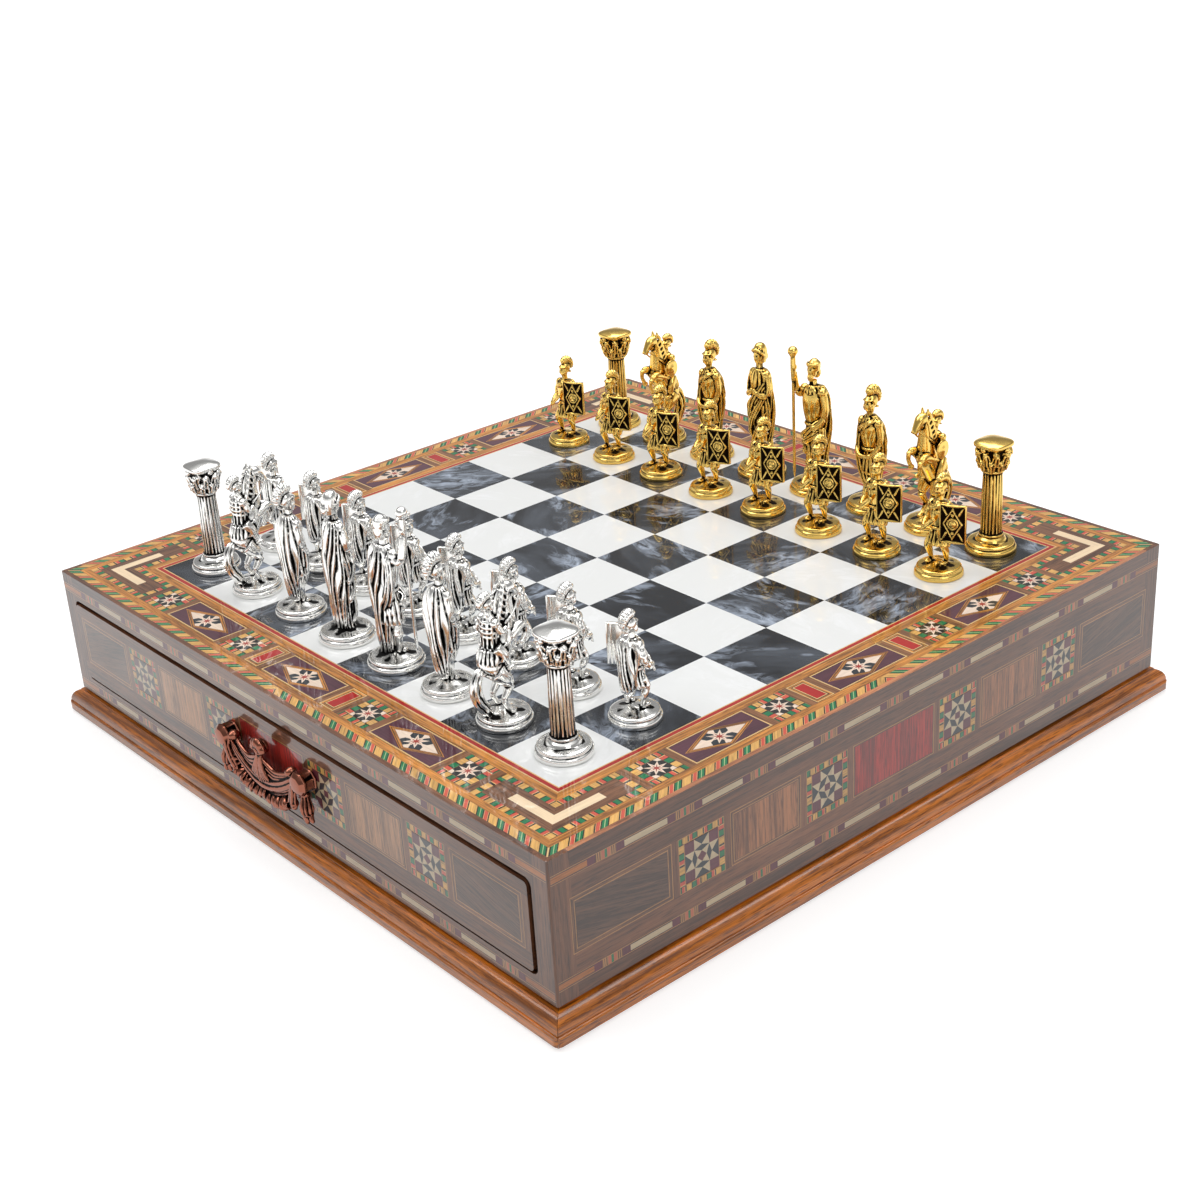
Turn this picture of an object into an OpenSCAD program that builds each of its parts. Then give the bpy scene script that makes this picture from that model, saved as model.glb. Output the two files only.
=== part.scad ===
// Chess box with two drawers: a walnut casing with marquetry, the board as its
// lid, a drawer in the front and one in the back, and the men on the board.
// Millimetres, +Z up, origin on the floor under the middle of the box.
// The front drawer faces -Y and the men of the silver side look towards +Y.

/* [Board] */
// Side of one square
square_w = 40; // [38:0.5:46]
// Thickness of the veneer and of every inlaid tile
veneer_t = 0.8; // [0.5:0.1:1.2]
// Width of the glue line between neighbouring tiles
glue_w = 0.1; // [0.06:0.02:0.2]
// Width of the cream, red and cream lines round the squares
line_w = 3.2; // [2.4:0.2:4]
// Width of each cream line
cream_line_w = 0.6; // [0.4:0.1:0.8]
// Width of the golden strip inside the band of rosettes
inner_strip_w = 4.6; // [3:0.2:6]
// Width of the band of rosettes and diamonds
band_w = 19.8; // [18:0.2:22]
// Width of the golden strip outside that band
outer_strip_w = 4.2; // [3:0.2:6]
// Width of the coloured rope band
rope_w = 4.6; // [3:0.2:6]
// Width of the bare walnut edge of the board
edge_w = 2.6; // [2:0.2:5]

/* [Border units] */
// Length of a diamond panel
diamond_w = 44.4; // [42:0.2:45]
// Long and short diagonals of the golden rhombus
rhombus_l = 40; // [34:0.5:41]
rhombus_h = 17.4; // [14:0.2:17.6]
// Width of the rhombus frame
rhombus_frame_w = 2; // [1.2:0.1:2.4]
// Outer width of a rosette with its ring of dashes
rosette_w = 19.8; // [18:0.2:20]
// Width of a ring of dashes
ring_w = 3.8; // [3:0.1:4.2]
// Tip radius of a rosette's star
rosette_star_r = 5.6; // [4:0.1:5.6]
// Length of a padauk bar with its stringing
bar_w = 10.8; // [9:0.2:12]
// How far a corner block reaches past the corner of the squares
corner_reach = 23.7; // [22:0.2:25]
// Distance from the squares to the ivory chevron and the chevron's width
chevron_off = 15; // [14.5:0.1:15.4]
chevron_w = 5; // [4:0.2:5.4]
// How far the chevron's arms reach past the corner of the squares
chevron_reach = 8.3; // [6:0.2:12]

/* [Casing] */
// Height of the casing above its base moulding
casing_h = 68; // [62:0.5:80]
// Thickness of the side walls
wall_t = 11; // [9:0.5:12]
// Thickness of the front and back frames
frame_t = 11; // [10:0.5:13]
// Thickness of the board under the veneer
top_t = 8; // [6:0.5:9]
// Thickness of the bottom board
bottom_t = 6; // [4:0.2:6.4]
// Radius of the casing's outer edges
edge_r = 1; // [0.6:0.1:1.4]
// Height of the base moulding, how far it stands out and how far it reaches in
moulding_h = 13.5; // [12.5:0.5:16]
moulding_out = 6.7; // [6:0.1:8]
moulding_in = 20; // [16:0.5:30]
// Radius of the moulding's outer corners
moulding_corner_r = 3; // [2:0.5:5]
// Diameter and thickness of the felt pads underneath
pad_d = 16; // [10:1:18]
pad_t = 1; // [0.6:0.2:2]
// Height of a dash band's groove and how far its ends stay from the corners
dash_h = 4.4; // [2:0.1:5]
dash_inset = 1.2; // [1:0.1:3]
// Length of an ivory bar in a dash band and of the coloured group beside it
ivory_w = 23; // [20:0.5:26]
group_w = 19.4; // [16:0.2:22]
// Depth of the upper dash bands below the board, on the sides and on the frames
side_dash_depth = 9.5; // [8:0.1:11]
frame_dash_depth = 7.8; // [5:0.1:9]
// Height of the lower dash bands above the moulding, on the sides and on the frames
side_dash_rise = 8.9; // [6:0.1:11]
frame_dash_rise = 4.2; // [3.2:0.1:5.4]

/* [Face inlays] */
// Depth of the row of panels below the board
panel_depth = 21.2; // [20:0.2:22]
// Height of the panels and width of the star squares
panel_h = 26.4; // [24:0.2:27]
star_w = 26; // [24:0.2:27]
// Width of the star square inside its ring of dashes
star_in_w = 19; // [16:0.2:20]
// Lengths of the middle, the light and the end panels
middle_panel_w = 54.2; // [50:0.2:56]
light_panel_w = 42; // [38:0.2:44]
end_panel_w = 53.8; // [50:0.2:56]
// Bare stile at each end of a side and of a drawer face
side_stile_w = 9.8; // [9:0.2:14]
face_stile_w = 4; // [3:0.2:6]

/* [Drawers] */
// Depth of a drawer opening's upper edge below the board
opening_drop = 13; // [12:0.2:15]
// Height of the frame under a drawer opening and the opening's corner radius
sill_h = 9.2; // [8.4:0.1:12]
opening_r = 4; // [2:0.5:6]
// Gap all round a drawer face in its opening
face_gap = 1.8; // [1:0.1:2.2]
// Thickness of a drawer face and how far it stands proud of the frame
face_t = 12; // [10:0.5:14]
face_proud = 0.8; // [0:0.1:1.5]
// Thickness of a drawer's sides and back
drawer_wall_t = 8; // [6:0.5:9]
// Thickness of a drawer's bottom and of its felt lining
drawer_bottom_t = 3; // [2.4:0.2:4]
lining_t = 1; // [0.6:0.2:2]
// How far a drawer's sides stay below the top of the opening
drawer_head = 3.5; // [2:0.5:6]
// Height that the drawer runs above its runners
slide_gap = 0.3; // [0.2:0.05:0.5]
// Width of the runners and of the kickers above the drawers
runner_w = 14; // [10:0.5:18]
kicker_gap = 0.8; // [0.5:0.1:1.5]
// Width of the stop rail between the drawers and the gap before it
stop_w = 8; // [6:0.5:14]
stop_gap = 3; // [2:0.5:6]

/* [Pulls] */
// Distance from the middle panel's edge to the axis of a pull's post
post_gap = 4.9; // [4.5:0.1:6]
// Depth of the posts' axis below the board
pull_depth = 31; // [29:0.5:33]
// Width, height and length of a post's eight-sided head
post_w = 11.4; // [9:0.2:13]
post_l = 8.6; // [7.6:0.2:12]
// Drop of the swag below the posts and the radius of its bar
swag_drop = 13.5; // [10:0.5:15]
swag_bar_r = 2.4; // [1.6:0.1:2.6]
// Drop of the leaf hem under the swag and its thickness
hem_drop = 19; // [17:0.5:21]
hem_r = 1.7; // [1.2:0.1:2]
// Screw diameter and the diameter of its head
screw_d = 4; // [3:0.5:4]
screw_head_d = 8; // [7:0.5:9]
// How deep a pull's screw goes into its post
screw_bite = 5; // [4:0.5:6]

/* [Men] */
// Diameters of the bases of the pawns, the officers and the royal pair
pawn_base_d = 24.2; // [22:0.2:27]
officer_base_d = 25.6; // [23:0.2:29]
royal_base_d = 27.4; // [24:0.2:31]
// Height of a man's base
base_h = 6.2; // [5:0.2:7]
// Heights of the men without staffs
pawn_h = 53; // [46:1:60]
rook_h = 59; // [52:1:68]
bishop_h = 69; // [60:1:78]
queen_h = 75; // [66:1:84]
king_h = 76; // [66:1:84]
knight_h = 68; // [60:1:76]
// Height of the king's staff with its knob
staff_h = 80; // [74:1:88]
// Width and height of a pawn's shield
shield_w = 12.5; // [10:0.5:14]
shield_h = 21; // [18:0.5:24]

/* [Hidden] */
squares = 8;
eps = 0.05;
// Inner radius of every star over its tip radius
star_in = 0.54;
field_w = squares * square_w;
field_r = field_w / 2;
band_in = field_r + line_w + inner_strip_w;
band_mid = band_in + band_w / 2;
band_out = band_in + band_w;
rope_in = band_out + outer_strip_w;
sheet_r = rope_in + rope_w;
case_r = sheet_r + edge_w;
case_w = 2 * case_r;
inner_w = case_w - 2 * wall_t;
inner_l = case_w - 2 * frame_t;

z_moulding = pad_t;
z_case = z_moulding + moulding_h;
z_top = z_case + casing_h;
z_sheet = z_top - veneer_t;
z_board = z_sheet - top_t;
z_bottom = z_case + bottom_t;

// Places of the border's units, from the middle of a side
band_run = field_r - corner_reach;
strip_w = (band_run - 1.5 * diamond_w - bar_w - 2 * rosette_w) / 5;
bar_x = diamond_w / 2 + strip_w + bar_w / 2;
rosette_x1 = bar_x + bar_w / 2 + strip_w + rosette_w / 2;
diamond_x = rosette_x1 + rosette_w / 2 + strip_w + diamond_w / 2;
rosette_x2 = diamond_x + diamond_w / 2 + strip_w + rosette_w / 2;

// Places of the panels on a side or a drawer face, from its middle
panel_gap = (case_r - side_stile_w - middle_panel_w / 2 - 2 * star_w - light_panel_w - end_panel_w) / 4;
star_x1 = middle_panel_w / 2 + panel_gap + star_w / 2;
light_x = star_x1 + star_w / 2 + panel_gap + light_panel_w / 2;
star_x2 = light_x + light_panel_w / 2 + panel_gap + star_w / 2;
end_x0 = star_x2 + star_w / 2 + panel_gap;

// Dash bands: bars and groups alternate, and an end bar fills the rest
dash_pitch = ivory_w + group_w;
dash_n = floor((case_r - dash_inset - group_w / 2 - 2) / dash_pitch);
dash_end_w = case_r - dash_inset - dash_n * dash_pitch - group_w / 2;
side_dashes = [side_dash_depth, casing_h - side_dash_rise];
frame_dashes = [frame_dash_depth, casing_h - frame_dash_rise];

// Drawer: its opening, its face and its box
opening_w = inner_w;
opening_h = casing_h - opening_drop - sill_h;
z_open = z_case + sill_h;
face_w = opening_w - 2 * face_gap;
face_h = opening_h - 2 * face_gap;
z_face = z_open + face_gap;
y_face = -case_r - face_proud;
y_box = y_face + face_t;
box_l = case_r - face_t + face_proud - stop_w / 2 - stop_gap;
z_box = z_open + slide_gap;
z_floor = z_box + drawer_bottom_t;
box_top = z_open + opening_h - drawer_head;
box_in_w = face_w - 2 * drawer_wall_t;
// The bottom keeps clear of the opening's rounded lower corners
bottom_w = face_w - 1.5 * opening_r;
runner_h = z_open - z_bottom;
kicker_h = z_board - box_top - kicker_gap;
kicker_end = max(0, inner_l / 2 + y_box) + kicker_gap;
face_end_w = face_w / 2 - face_stile_w - end_x0;

// Pull, in a frame with its origin on the drawer face between the posts
z_pull = z_top - pull_depth;
pull_c = middle_panel_w + 2 * post_gap;
pull_u = pull_c / 64;
knob_x = pull_c / 2 - post_w / 2 - 1.6 * pull_u;
swag_y = -post_l / 2 - 0.6;
hem_y = -post_l + 1;
swag_r = (knob_x * knob_x + swag_drop * swag_drop) / (2 * swag_drop);
swag_a = asin(knob_x / swag_r);
hem_x = pull_c / 2 - 3;
hem_top = 8;
hem_sag = hem_drop - hem_top;
hem_arc_r = (hem_x * hem_x + hem_sag * hem_sag) / (2 * hem_sag);
hem_a = asin(hem_x / hem_arc_r);

silver_row = 0;
gold_row = squares - 1;
rook_cols = [0, 7];
knight_cols = [1, 6];
bishop_cols = [2, 5];
queen_col = 3;
king_col = 4;

$fn = 48;

walnut = [0.24, 0.15, 0.10];
honey_walnut = [0.42, 0.22, 0.09];
golden = [0.62, 0.38, 0.15];
ivory = [0.86, 0.80, 0.66];
purpleheart = [0.24, 0.09, 0.11];
padauk = [0.50, 0.09, 0.07];
plywood = [0.66, 0.50, 0.33];
felt = [0.10, 0.22, 0.13];
copper = [0.35, 0.17, 0.11];
silver = [0.78, 0.78, 0.76];
gold = [0.72, 0.53, 0.20];

// ---------- helpers

module each_side() for (a = [0:90:270]) rotate(a) children();

// A centred slab: width, length, height, with its underside at z
module slab(w, l, h, z) translate([-w / 2, -l / 2, z]) cube([w, l, h]);

// A square ring of the veneer sheet between two half widths
module sheet_ring(r_out, r_in) difference() {
    slab(2 * r_out, 2 * r_out, veneer_t, z_sheet);
    slab(2 * r_in, 2 * r_in, veneer_t + 2, z_sheet - 1);
}

module rounded_rect(w, h, r) translate([-w / 2, 0]) union() {
    translate([r, 0]) square([w - 2 * r, h]);
    translate([0, r]) square([w, h - 2 * r]);
    for (x = [r, w - r], y = [r, h - r]) translate([x, y]) circle(r);
}

// A star of n points as a polygon
module star(n, r_tip, r_in) polygon([for (i = [0:2 * n - 1])
    let (r = i % 2 == 0 ? r_tip : r_in, a = i * 180 / n) [r * cos(a), r * sin(a)]]);

// Children laid flat in the veneer sheet, on the front side's band at x
module in_band(x, grow = 0) translate([x, -band_mid, z_sheet - grow])
    linear_extrude(veneer_t + 2 * grow) children();

// A tile in the front face of the casing: its middle, depth below the board and size
module tile(u, depth, w, h, y = -case_r, grow = 0)
    translate([u - w / 2, y - grow, z_top - depth - h]) cube([w, veneer_t + grow, h]);

module in_face(u, depth, y = -case_r) translate([u, y + veneer_t, z_top - depth])
    rotate([90, 0, 0]) linear_extrude(veneer_t) children();

// ---------- casing

// The whole casing as one rounded block
module casing_form() intersection() {
    translate([0, -case_r, z_case]) linear_extrude(casing_h)
        rounded_rect(case_w, case_w, edge_r);
    for (a = [0, 90]) rotate([90, 0, a]) linear_extrude(case_w + 2, center = true)
        translate([0, z_case - 2 * edge_r]) rounded_rect(case_w, casing_h + 2 * edge_r, edge_r);
}

module dash_grooves(depths, grow = 0) for (d = depths)
    tile(0, d - dash_h / 2, case_w - 2 * dash_inset, dash_h, grow = grow);

// Everything that is let into the four walls
module wall_pockets() {
    slab(2 * sheet_r, 2 * sheet_r, veneer_t + 1, z_sheet);
    for (a = [0, 180]) rotate(a) dash_grooves(frame_dashes, 1);
    for (a = [90, 270]) rotate(a) {
        dash_grooves(side_dashes, 1);
        face_panel_shapes(end_panel_w, grow = 1);
        face_star_shapes(grow = 1);
    }
}

module wall(side) color(walnut) difference() {
    intersection() {
        casing_form();
        translate([side * (case_r - wall_t / 2), 0, 0])
            slab(wall_t, inner_l, casing_h, z_case);
    }
    wall_pockets();
}

module left_wall() wall(-1);

module right_wall() wall(1);

module frame() color(walnut) difference() {
    intersection() {
        casing_form();
        translate([0, -case_r + frame_t / 2, 0]) slab(case_w, frame_t, casing_h, z_case);
    }
    translate([0, -case_r + frame_t + 1, z_open]) rotate([90, 0, 0])
        linear_extrude(frame_t + 2) rounded_rect(opening_w, opening_h, opening_r);
    wall_pockets();
}

module top_board() color(plywood) slab(inner_w, inner_l, top_t, z_board);

module bottom_board() color(plywood) slab(inner_w, inner_l, bottom_t, z_case);

// Section of the base moulding: x outwards from the casing, y up
module moulding_profile() {
    quirk_h = 1.4;
    nose_h = 5.2;
    bead_r = 1;
    round_r = 6;
    top_y = moulding_h - quirk_h;
    step_x = moulding_out - 1.1;
    difference() {
        union() {
            translate([-moulding_in, 0]) square([moulding_in - 1.5, moulding_h]);
            translate([-2, 0]) square([3, top_y]);
            translate([-2, 0]) square([2 + moulding_out - bead_r, nose_h]);
            translate([0, 0.6]) square([moulding_out, nose_h - 0.6 - bead_r]);
            translate([moulding_out - bead_r, nose_h - bead_r]) circle(bead_r);
            intersection() {
                translate([0.9, nose_h - 1]) square([step_x - 0.9, top_y - nose_h + 1]);
                translate([step_x - round_r, top_y - round_r - 0.4]) circle(round_r);
            }
        }
        translate([-1.5, top_y]) square([9, quirk_h + 1]);
    }
}

module base_moulding() color(honey_walnut) {
    outer_w = case_w + 2 * moulding_out;
    each_side() intersection() {
        difference() {
            translate([-outer_w / 2, -case_r, z_moulding]) rotate([90, 0, 90])
                linear_extrude(outer_w) mirror([1, 0]) moulding_profile();
            for (s = [0, 1]) mirror([s, 0, 0]) translate([-glue_w, 0, z_moulding - 1])
                rotate(-45) cube([outer_w, outer_w, moulding_h + 2]);
        }
        translate([0, -outer_w / 2, z_moulding]) linear_extrude(moulding_h)
            rounded_rect(outer_w, outer_w, moulding_corner_r);
    }
}

module foot_pads() color(felt) for (x = [-1, 1], y = [-1, 1])
    translate([x, y, 0] * (case_r - moulding_in / 2)) cylinder(d = pad_d, h = pad_t);

module drawer_stop_rail() color(plywood) slab(inner_w, stop_w, z_board - z_bottom, z_bottom);

// Strips from the stop rail outwards, short of the frame by end_gap
module drawer_strips(h, z, end_gap) {
    strip_l = inner_l / 2 - stop_w / 2 - end_gap;
    for (x = [-1, 1], y = [-1, 1])
        translate([x * (inner_w - runner_w) / 2, y * (stop_w + strip_l) / 2, 0])
            slab(runner_w, strip_l, h, z);
}

module drawer_runners() color(plywood) drawer_strips(runner_h, z_bottom, 0);

module drawer_kickers() color(plywood) drawer_strips(kicker_h, z_board - kicker_h, kicker_end);

// ---------- marquetry of the board

// Squares of one shade: the square at column 0, row 0 is dark
module field_squares(shade) for (c = [0:squares - 1], r = [0:squares - 1])
    if ((c + r) % 2 == shade)
        translate([(c + 0.5) * square_w - field_r, (r + 0.5) * square_w - field_r, 0])
            slab(square_w - glue_w, square_w - glue_w, veneer_t, z_sheet);

module light_squares() color("white") field_squares(1);

module dark_squares() color([0.10, 0.11, 0.13]) field_squares(0);

module field_lines() {
    lines = [0, cream_line_w, line_w - cream_line_w, line_w];
    for (i = [0:2]) color(i == 1 ? padauk : ivory)
        sheet_ring(field_r + lines[i + 1], field_r + lines[i] + (i == 0 ? 0 : glue_w));
}

// The dark ground round a star, a glue line clear of its frame and of the star
module star_ground(w, h, r) difference() {
    square([w - 2 * glue_w, h - 2 * glue_w], center = true);
    star(8, r + 2 * glue_w, r * star_in + 2 * glue_w);
}

module rhombus(l, h) polygon([[l / 2, 0], [0, h / 2], [-l / 2, 0], [0, -h / 2]]);

module diamond_units(grow = 0) for (x = [-diamond_x, 0, diamond_x])
    in_band(x, grow) square([diamond_w, band_w - 0.8], center = true);

module rosette_units(grow = 0) for (x = [rosette_x1, rosette_x2], s = [-1, 1])
    in_band(s * x, grow) square(rosette_w, center = true);

module bar_units(grow = 0) for (s = [-1, 1])
    in_band(s * bar_x, grow) square([bar_w, band_w - 0.8], center = true);

// The corner block is an L that follows the band, inset by i
module corner_block(i) {
    a = band_run + i;
    b = band_in + i;
    c = band_out - i;
    polygon([[a, c], [c, c], [c, a], [b, a], [b, b], [a, b]]);
}

module chevron() {
    a = field_r - chevron_reach;
    b = field_r + chevron_off;
    c = b + chevron_w;
    polygon([[a, c], [c, c], [c, a], [b, a], [b, b], [a, b]]);
}

module in_sheet(grow = 0) translate([0, 0, z_sheet - grow])
    linear_extrude(veneer_t + 2 * grow) children();

module corner_ring(grow = 0) in_sheet(grow) difference() {
    corner_block(0);
    corner_block(ring_w - 0.4);
}

module border_ground() color(golden) difference() {
    sheet_ring(rope_in, field_r + line_w);
    each_side() {
        diamond_units(1);
        rosette_units(1);
        bar_units(1);
        corner_ring(1);
        in_sheet(1) chevron();
    }
}

module border_rosettes() each_side() for (x = [rosette_x1, rosette_x2], s = [-1, 1]) {
    in_w = rosette_w - 2 * ring_w;
    color("gold") in_band(s * x) difference() {
        square(rosette_w, center = true);
        square(in_w, center = true);
    }
    color("black") in_band(s * x) star_ground(in_w, in_w, rosette_star_r);
    color("white") in_band(s * x) star(8, rosette_star_r, rosette_star_r * star_in);
}

// Purple ground, golden rhombus frame and pale rhombus, a glue line apart
module border_diamonds() each_side() for (x = [-diamond_x, 0, diamond_x]) {
    k_in = 1 - 2 * rhombus_frame_w / rhombus_h;
    k_glue = 1 - 4 * glue_w / rhombus_h;
    color(purpleheart) in_band(x) difference() {
        square([diamond_w, band_w - 0.8], center = true);
        rhombus(rhombus_l, rhombus_h);
    }
    color(golden) in_band(x) difference() {
        rhombus(rhombus_l * k_glue, rhombus_h * k_glue);
        rhombus(rhombus_l * k_in, rhombus_h * k_in);
    }
    color(ivory) in_band(x) rhombus(rhombus_l * k_in * k_glue, rhombus_h * k_in * k_glue);
}

module border_bars() color(padauk) each_side() bar_units();

module corner_frames() color("gold") each_side() corner_ring();

module corner_chevrons() color(ivory) each_side() in_sheet() chevron();

// Four mitred lengths
module rope_band() color("goldenrod") each_side() in_sheet() polygon([
    [glue_w - sheet_r, -sheet_r], [sheet_r - glue_w, -sheet_r],
    [rope_in - glue_w, -rope_in], [glue_w - rope_in, -rope_in]]);

// ---------- marquetry of the faces

module face_panel_shapes(end_w, y = -case_r, grow = 0) {
    tile(0, panel_depth, middle_panel_w, panel_h, y, grow);
    for (s = [-1, 1]) {
        tile(s * light_x, panel_depth, light_panel_w, panel_h, y, grow);
        tile(s * (end_x0 + end_w / 2), panel_depth, end_w, panel_h, y, grow);
    }
}

module face_star_shapes(y = -case_r, grow = 0) for (x = [star_x1, star_x2], s = [-1, 1])
    tile(s * x, panel_depth, star_w, panel_h, y, grow);

module face_panels(end_w, y = -case_r) {
    color(padauk) tile(0, panel_depth, middle_panel_w, panel_h, y);
    for (s = [-1, 1]) {
        color(honey_walnut) tile(s * light_x, panel_depth, light_panel_w, panel_h, y);
        color(walnut) tile(s * (end_x0 + end_w / 2), panel_depth, end_w, panel_h, y);
    }
}

// A star square: ring of dashes, dark ground and the pale eight-pointed star
module face_stars(y = -case_r) for (x = [star_x1, star_x2], s = [-1, 1]) {
    mid = panel_depth + panel_h / 2;
    star_r = star_in_w * 0.49;
    color("gold") in_face(s * x, mid, y) difference() {
        square([star_w, panel_h], center = true);
        square(star_in_w, center = true);
    }
    color(purpleheart) in_face(s * x, mid, y) star_ground(star_in_w, star_in_w, star_r - glue_w * 4);
    color(ivory) in_face(s * x, mid, y) star(8, star_r - glue_w * 4, (star_r - glue_w * 4) * star_in);
}

module side_stars() for (a = [90, 270]) rotate(a) face_stars();

module side_panels() for (a = [90, 270]) rotate(a) face_panels(end_panel_w);

module dash_pieces(depth) {
    z0 = depth - dash_h / 2;
    for (i = [-dash_n:dash_n - 1]) color(ivory)
        tile((i + 0.5) * dash_pitch, z0, ivory_w - glue_w, dash_h);
    for (i = [-dash_n:dash_n]) color(purpleheart)
        tile(i * dash_pitch, z0, group_w - glue_w, dash_h);
    for (s = [-1, 1]) color(golden)
        tile(s * (case_r - dash_inset - dash_end_w / 2), z0, dash_end_w - glue_w, dash_h);
}

module dash_bands() {
    for (a = [0, 180], d = frame_dashes) rotate(a) dash_pieces(d);
    for (a = [90, 270], d = side_dashes) rotate(a) dash_pieces(d);
}

// ---------- a drawer, as the front one

module drawer_face() color(walnut) difference() {
    translate([0, y_box, z_face]) rotate([90, 0, 0]) linear_extrude(face_t)
        rounded_rect(face_w, face_h, opening_r - face_gap);
    face_panel_shapes(face_end_w, y_face, 1);
    face_star_shapes(y_face, 1);
    for (s = [-1, 1]) translate([s * pull_c / 2, 0, z_pull]) rotate([90, 0, 0])
        cylinder(d = screw_d, h = case_w, center = true);
}

// Holes for the pull's screws through what is let into the face
module pull_holes() for (s = [-1, 1]) translate([s * pull_c / 2, y_face, z_pull])
    rotate([90, 0, 0]) cylinder(d = screw_d, h = 4, center = true);

module drawer_stars() difference() {
    face_stars(y_face);
    pull_holes();
}

module drawer_panels() difference() {
    face_panels(face_end_w, y_face);
    pull_holes();
}

module drawer_bottom() color(plywood) translate([-bottom_w / 2, y_box, z_box])
    cube([bottom_w, box_l, drawer_bottom_t]);

module drawer_sides() color(plywood) for (s = [-1, 1])
    translate([s * (face_w - drawer_wall_t) / 2 - drawer_wall_t / 2, y_box, z_floor])
        cube([drawer_wall_t, box_l, box_top - z_floor]);

module drawer_back() color(plywood)
    translate([-box_in_w / 2, y_box + box_l - drawer_wall_t, z_floor])
        cube([box_in_w, drawer_wall_t, box_top - z_floor]);

module drawer_lining() color(felt) translate([-box_in_w / 2, y_box, z_floor])
    cube([box_in_w, box_l - drawer_wall_t, lining_t]);

// One casting: two posts, a knotted swag between them, a leaf hem and two tassels
module pull(u = pull_u) color(copper) translate([0, y_face, z_pull]) difference() {
    union() {
        for (s = [-1, 1]) {
            translate([s * pull_c / 2, 0, 0]) rotate([90, 22.5, 0])
                cylinder(d = post_w, h = post_l - 1.4 * u, $fn = 8);
            translate([s * pull_c / 2, 1.4 * u - post_l, 0]) rotate([90, 22.5, 0])
                cylinder(d1 = post_w, d2 = post_w - 3 * u, h = 1.4 * u, $fn = 8);
            translate([s * knob_x, swag_y + u, 2.6 * u]) sphere(2.8 * u);
            translate([s * pull_c / 2, swag_y, -post_w / 2 + u]) rotate([180, 0, 0])
                cylinder(r1 = 2.2 * u, r2 = 3.2 * u, h = 7 * u);
            translate([s * pull_c / 2, swag_y, -post_w / 2 - 6 * u]) rotate([180, 0, 0])
                cylinder(r1 = 3.2 * u, r2 = 1.2 * u, h = 6.5 * u);
        }
        translate([0, swag_y, swag_r - swag_drop]) rotate([90, 0, 0]) rotate(-90 - swag_a)
            rotate_extrude(angle = 2 * swag_a) translate([swag_r, 0]) circle(swag_bar_r);
        translate([0, hem_y, hem_arc_r - hem_drop]) rotate([90, 0, 0]) rotate(-90 - hem_a)
            rotate_extrude(angle = 2 * hem_a) translate([hem_arc_r, 0]) circle(hem_r);
        translate([0, swag_y, 7 * u]) sphere(4 * u);
        for (s = [-1, 1]) translate([s * 4.2, swag_y / u + 0.6, 7.6] * u) sphere(2.9 * u);
        translate([0, swag_y, 5 * u]) rotate([180, 0, 0])
            cylinder(r1 = 2.6 * u, r2 = 4.4 * u, h = 18 * u);
        translate([0, hem_y + 0.6 * u, -hem_drop + 3.5 * u]) rotate([180, 0, 0])
            cylinder(r1 = hem_r + 0.6 * u, r2 = u, h = 5.5 * u);
    }
    for (s = [-1, 1]) translate([s * pull_c / 2, 1, 0]) rotate([90, 0, 0])
        cylinder(d = screw_d, h = screw_bite + 1);
}

module pull_screws() color("silver") for (s = [-1, 1])
    translate([s * pull_c / 2, y_face, z_pull]) rotate([90, 0, 0]) {
        translate([0, 0, -face_t]) cylinder(d = screw_d, h = face_t + screw_bite);
        translate([0, 0, -face_t - 2.4]) cylinder(d = screw_head_d, h = 2.4);
    }

// ---------- the men, each looking towards +Y with its right hand at +X

// Stand a man on the square of column c and row r, turned by a
module stand(c, r, a) translate([(c + 0.5) * square_w - field_r,
    (r + 0.5) * square_w - field_r, z_top]) rotate(a) children();

// Round stepped base
module man_base(d) {
    r = d / 2;
    drum_h = 2.2;
    rotate_extrude() polygon([[0, 0], [r - 0.3, 0], [r, 0.5], [r, drum_h], [r - 1.4, drum_h + 0.5],
        [r - 1.3, drum_h + 1.5], [r - 2.2, drum_h + 2], [r * 0.62, base_h], [0, base_h]]);
}

// A tapered limb between two points, with a rounded end
module limb(a, b, r1, r2) {
    v = b - a;
    translate(a) rotate([0, acos(v[2] / norm(v)), atan2(v[1], v[0])])
        cylinder(h = norm(v), r1 = r1, r2 = r2, $fn = 24);
    translate(b) sphere(r2 * 1.12, $fn = 24);
}

// A plain tapered limb between two points
module bone(a, b, r1, r2, n = 6) hull() {
    translate(a) sphere(r1, $fn = n);
    translate(b) sphere(r2, $fn = n);
}

// A body through oval rings, each [height, half width, half depth, y]
module trunk(rings, n = 10) {
    points = [for (k = rings, i = [0:n - 1])
        [k[1] * cos(i * 360 / n), k[3] + k[2] * sin(i * 360 / n), k[0]]];
    sides = [for (k = [0:len(rings) - 2], i = [0:n - 1])
        [k * n + i, (k + 1) * n + i, (k + 1) * n + (i + 1) % n, k * n + (i + 1) % n]];
    bottom = [for (i = [0:n - 1]) i];
    top = [for (i = [1:n]) len(rings) * n - i];
    polyhedron(points, concat([bottom], [top], sides));
}

// A cloak hanging round the man's back from z0 to z1
module cloak(r, t, z0, z1) translate([0, 0, z0]) linear_extrude(z1 - z0) difference() {
    circle(r);
    circle(r - t);
    translate([-r - 1, 1]) square([2 * r + 2, r]);
}

// Head with a crested helmet, its top at height h
module crested_head(h, r, n = 32) {
    head_z = h - 2.6 * r;
    translate([0, 0, head_z]) sphere(r, $fn = n);
    translate([0, 0, head_z - 2 * r]) cylinder(r = r * 0.6, h = 2 * r, $fn = n);
    translate([-r * 0.3, -r * 0.4, head_z + r * 1.1]) rotate([0, 90, 0])
        cylinder(r = r * 1.5, h = r * 0.6, $fn = n);
}

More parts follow.
